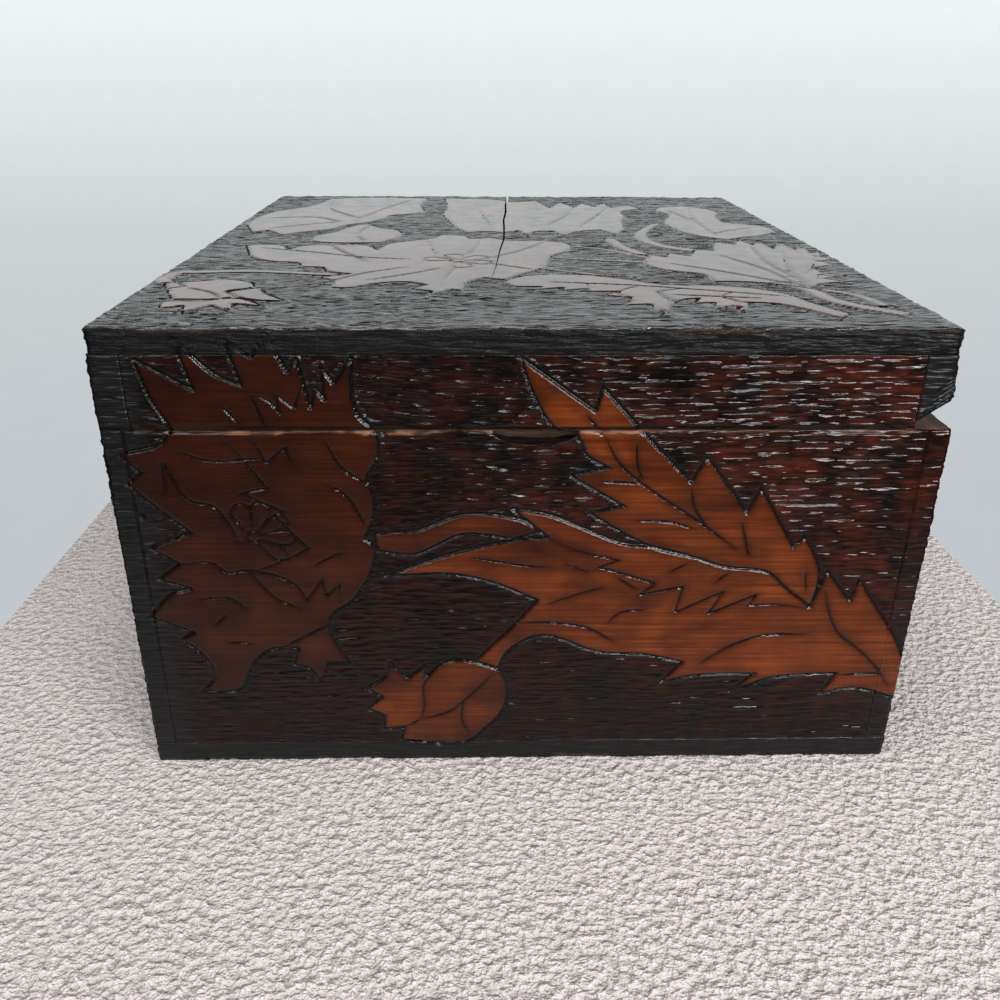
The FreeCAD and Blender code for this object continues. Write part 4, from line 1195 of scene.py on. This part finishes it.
def hinge_gains(kind):
    """Blocks that clear the seats of the two leaves of a kind, case or lid."""
    made = []
    for side in ("left", "right"):
        low, high = corners(f"{side}_hinge_{kind}_leaf")
        x0, x1 = low[0] - GAIN_CLEARANCE, high[0] + GAIN_CLEARANCE
        y0, y1 = low[1] - GAIN_CLEARANCE, HALF_DEPTH + CUT_PAST
        z0, z1 = (low[2], SEAM + CUT_PAST) if kind == "case" else (SEAM - CUT_PAST, high[2])
        made.append(prism([(x0, y0), (x1, y0), (x1, y1), (x0, y1)], z0, z1))
    return made


# The case's boards, with the spacing of their grids on the main face and down the edges
panel_skin = HALF_WIDTH - CASE_JOINT
seat = corners("case_front_panel")[1][1]
board("case_front_panel", "front", (0.64, 0.345), 1.0, wood[0], finger_chip)
back = board("case_back_panel", "back", (0.7, 0.62), 1.0, wood[0])
cut_away(back, hinge_gains("case"))
for side in ("left", "right"):
    board(f"case_{side}_panel", side, (0.7, 0.42), 0.6, side_wood, None, (seat, -seat, panel_skin))
board("case_bottom_board", "top", (0.6, 0.6), 0.5, wood[0], face_grid=False)

# The lid's boards
top = board("lid_top_board", "top", (1.05, 0.6), 0.46, top_wood, worn_end)
cut_away(top, [prism(split_outline(), TOP_UNDERSIDE - SPLIT_PAST, HEIGHT + SPLIT_PAST)])
board("lid_front_rail", "front", (0.42, 0.22), 0.8, wood[0])
back = board("lid_back_rail", "back", (0.7, 0.6), 1.0, wood[0])
cut_away(back, hinge_gains("lid"))
board("lid_left_rail", "left", (0.62, 0.4), 0.6, side_wood)
board("lid_right_rail", "right", (0.62, 0.4), 0.6, side_wood, broken_corner)

for name in ("case_corner_brads", "lid_corner_brads", "lid_top_brads"):
    set_brads(name)
for name in ("case_hinge_screws", "lid_hinge_screws"):
    set_screws(name)
# The hinges' leaves and pins and the bottom board's brads are shown as the CAD has them
for name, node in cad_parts.items():
    if "hinge" in name or "brads" in name:
        node.data.materials.clear()
        node.data.materials.append(steel if "brads" in name else brass)

# The stage, in metres: a pale strip of cloth on a white floor with a white wall behind
CLOTH_HALF_WIDTH, CLOTH_FRONT, CLOTH_END = 0.182, -0.36, 0.5
STAGE_REACH, FLOOR_Z = 3.0, -0.002
WALL_Y, WALL_TOP, WALL_FADE = 0.9, 1.0, 0.55
FLOOR_WHITE = (0.54, 0.57, 0.60)
WALL_FOOT, WALL_HEAD = (0.62, 0.66, 0.67), (1.15, 1.22, 1.23)
CLOTH = (0.82, 0.752, 0.728)
CLOTH_GAPS = tuple(0.62 * c for c in CLOTH)
# In gloss the floor is dim, and the cloth is painted darker as painted shade from the first of these y to
# the second
DIM_FLOOR_IN_GLOSS = 0.06
CLOTH_DIMS = (-0.15, -0.34)
ROOM_LIGHT, ROOM_SEEN = (0.035, 0.036, 0.037), (0.72, 0.76, 0.77)


def cloth_look():
    """Pale looped cloth, matt and lit by the lamps; in reflections it is painted darker away from the box,
    as painted shade.
    """
    look = Look("cloth_stage")
    loops = look.noise(430, 1.5)
    colour = look.mix(look.maths("POWER", loops, 0.6), CLOTH_GAPS, CLOTH)
    # Painted shade: in reflections the cloth darkens away from the box
    away = look.along_axis(1, *CLOTH_DIMS, 0.0, 1 - DIM_FLOOR_IN_GLOSS)
    dimmed = look.times(look.node("ShaderNodeLightPath").outputs["Is Glossy Ray"], away)
    look.set("Base Color", look.mix(dimmed, colour, (0.0, 0.0, 0.0)))
    look.set("Roughness", 0.9)
    look.set("Specular IOR Level", 0.1)
    look.bump(look.plus(loops, look.noise(1500, 2.0, 0.0, 0.3)), 0.0016)
    return look.material


def white_look(name, axis, end, low, high, in_gloss):
    """Matt white that camera and gloss see as its own colour, from low to high along an axis up to end."""
    look = Look(name)
    white = look.node("ShaderNodeVectorMath", operation="SCALE")
    look.put(white.inputs[0], look.mix(look.along_axis(axis, 0.0, end), low, high))
    look.put(white.inputs["Scale"], look.noise(40, 3.0, 0.99, 1.01))
    look.set("Base Color", (*FLOOR_WHITE, 1))
    look.set("Roughness", 0.9)
    path = look.node("ShaderNodeLightPath").outputs
    glow = look.node("ShaderNodeEmission")
    look.put(glow.inputs["Color"], white.outputs[0])
    not_gloss = look.maths("SUBTRACT", 1.0, path["Is Glossy Ray"])
    look.put(glow.inputs["Strength"], look.maths("MAXIMUM", not_gloss, in_gloss))
    pick = look.node("ShaderNodeMixShader")
    look.put(pick.inputs[0], look.maths("MAXIMUM", path["Is Camera Ray"], path["Is Glossy Ray"]))
    look.put(pick.inputs[1], look.shader.outputs[0])
    look.put(pick.inputs[2], glow.outputs[0])
    look.put(look.tree.nodes["Material Output"].inputs["Surface"], pick.outputs[0])
    return look.material


def sheet_of(name, half_width, near, far, look):
    """One flat stage face between two edges across the stage, each given by its y and z."""
    mesh = bpy.data.meshes.new(name)
    points = [(-half_width, *near), (half_width, *near), (half_width, *far), (-half_width, *far)]
    mesh.from_pydata(points, [], [[0, 1, 2, 3]])
    add(name, mesh, look)


sheet_of("cloth", CLOTH_HALF_WIDTH, (CLOTH_FRONT, 0), (CLOTH_END, 0), cloth_look())
sheet_of("floor", STAGE_REACH, (-STAGE_REACH, FLOOR_Z), (WALL_Y, FLOOR_Z),
         white_look("white_floor", 1, WALL_Y, FLOOR_WHITE, WALL_FOOT, DIM_FLOOR_IN_GLOSS))
sheet_of("wall", STAGE_REACH, (WALL_Y, FLOOR_Z), (WALL_Y, WALL_TOP),
         white_look("white_wall", 2, WALL_FADE, WALL_FOOT, WALL_HEAD, 1.0))

# The room's own light is faint, though the camera sees it pale
world = bpy.data.worlds.new("room")
world.use_nodes = True
nodes, links = world.node_tree.nodes, world.node_tree.links
seen = nodes.new("ShaderNodeMix")
seen.data_type = "RGBA"
seen.inputs[6].default_value, seen.inputs[7].default_value = (*ROOM_LIGHT, 1), (*ROOM_SEEN, 1)
links.new(nodes.new("ShaderNodeLightPath").outputs["Is Camera Ray"], seen.inputs[0])
links.new(seen.outputs[2], nodes["Background"].inputs["Color"])
bpy.context.scene.world = world


def lamp(name, place, aim, size, power):
    """A soft rectangular lamp at a place, aimed at another."""
    data = bpy.data.lights.new(name, "AREA")
    data.shape, data.size, data.size_y, data.energy = "RECTANGLE", size[0], size[1], power
    made = add(name, data)
    made.location = place
    made.rotation_euler = (Vector(aim) - Vector(place)).to_track_quat("-Z", "Y").to_euler()


lamp("window", (0.62, -1.15, 0.56), (0, -0.1, 0.06), (1.0, 0.10), 18.0)
lamp("far window", (-0.55, -1.05, 0.6), (0, -0.1, 0.06), (0.7, 0.16), 3.0)
lamp("ceiling", (-0.1, -0.35, 1.5), (0, 0, 0), (1.2, 0.8), 15.0)

# The camera, as fitted to the photo's corners
CAMERA_PLACE = Vector((-12.0, -338.0, 181.7)) * MM
YAW, PITCH, ROLL = (math.radians(a) for a in (1.29, 24.79, -0.37))
PHOTO_FOCAL_PIXELS, PHOTO_WIDTH_PIXELS, SENSOR_WIDTH = 937.2, 1000, 36.0
ahead = Vector((math.sin(YAW) * math.cos(PITCH), math.cos(YAW) * math.cos(PITCH), -math.sin(PITCH)))
level = Vector((math.cos(YAW), -math.sin(YAW), 0))
below = ahead.cross(level)
right = level * math.cos(ROLL) + below * math.sin(ROLL)
below = below * math.cos(ROLL) - level * math.sin(ROLL)
camera = add("camera", bpy.data.cameras.new("camera"))
camera.data.sensor_width = SENSOR_WIDTH
camera.data.lens = PHOTO_FOCAL_PIXELS / PHOTO_WIDTH_PIXELS * SENSOR_WIDTH
camera.data.clip_start = 0.01
turned = Matrix((right, -below, -ahead)).transposed().to_4x4()
camera.matrix_world = Matrix.Translation(CAMERA_PLACE) @ turned
bpy.context.scene.camera = camera
bpy.context.scene.view_settings.view_transform = "Standard"
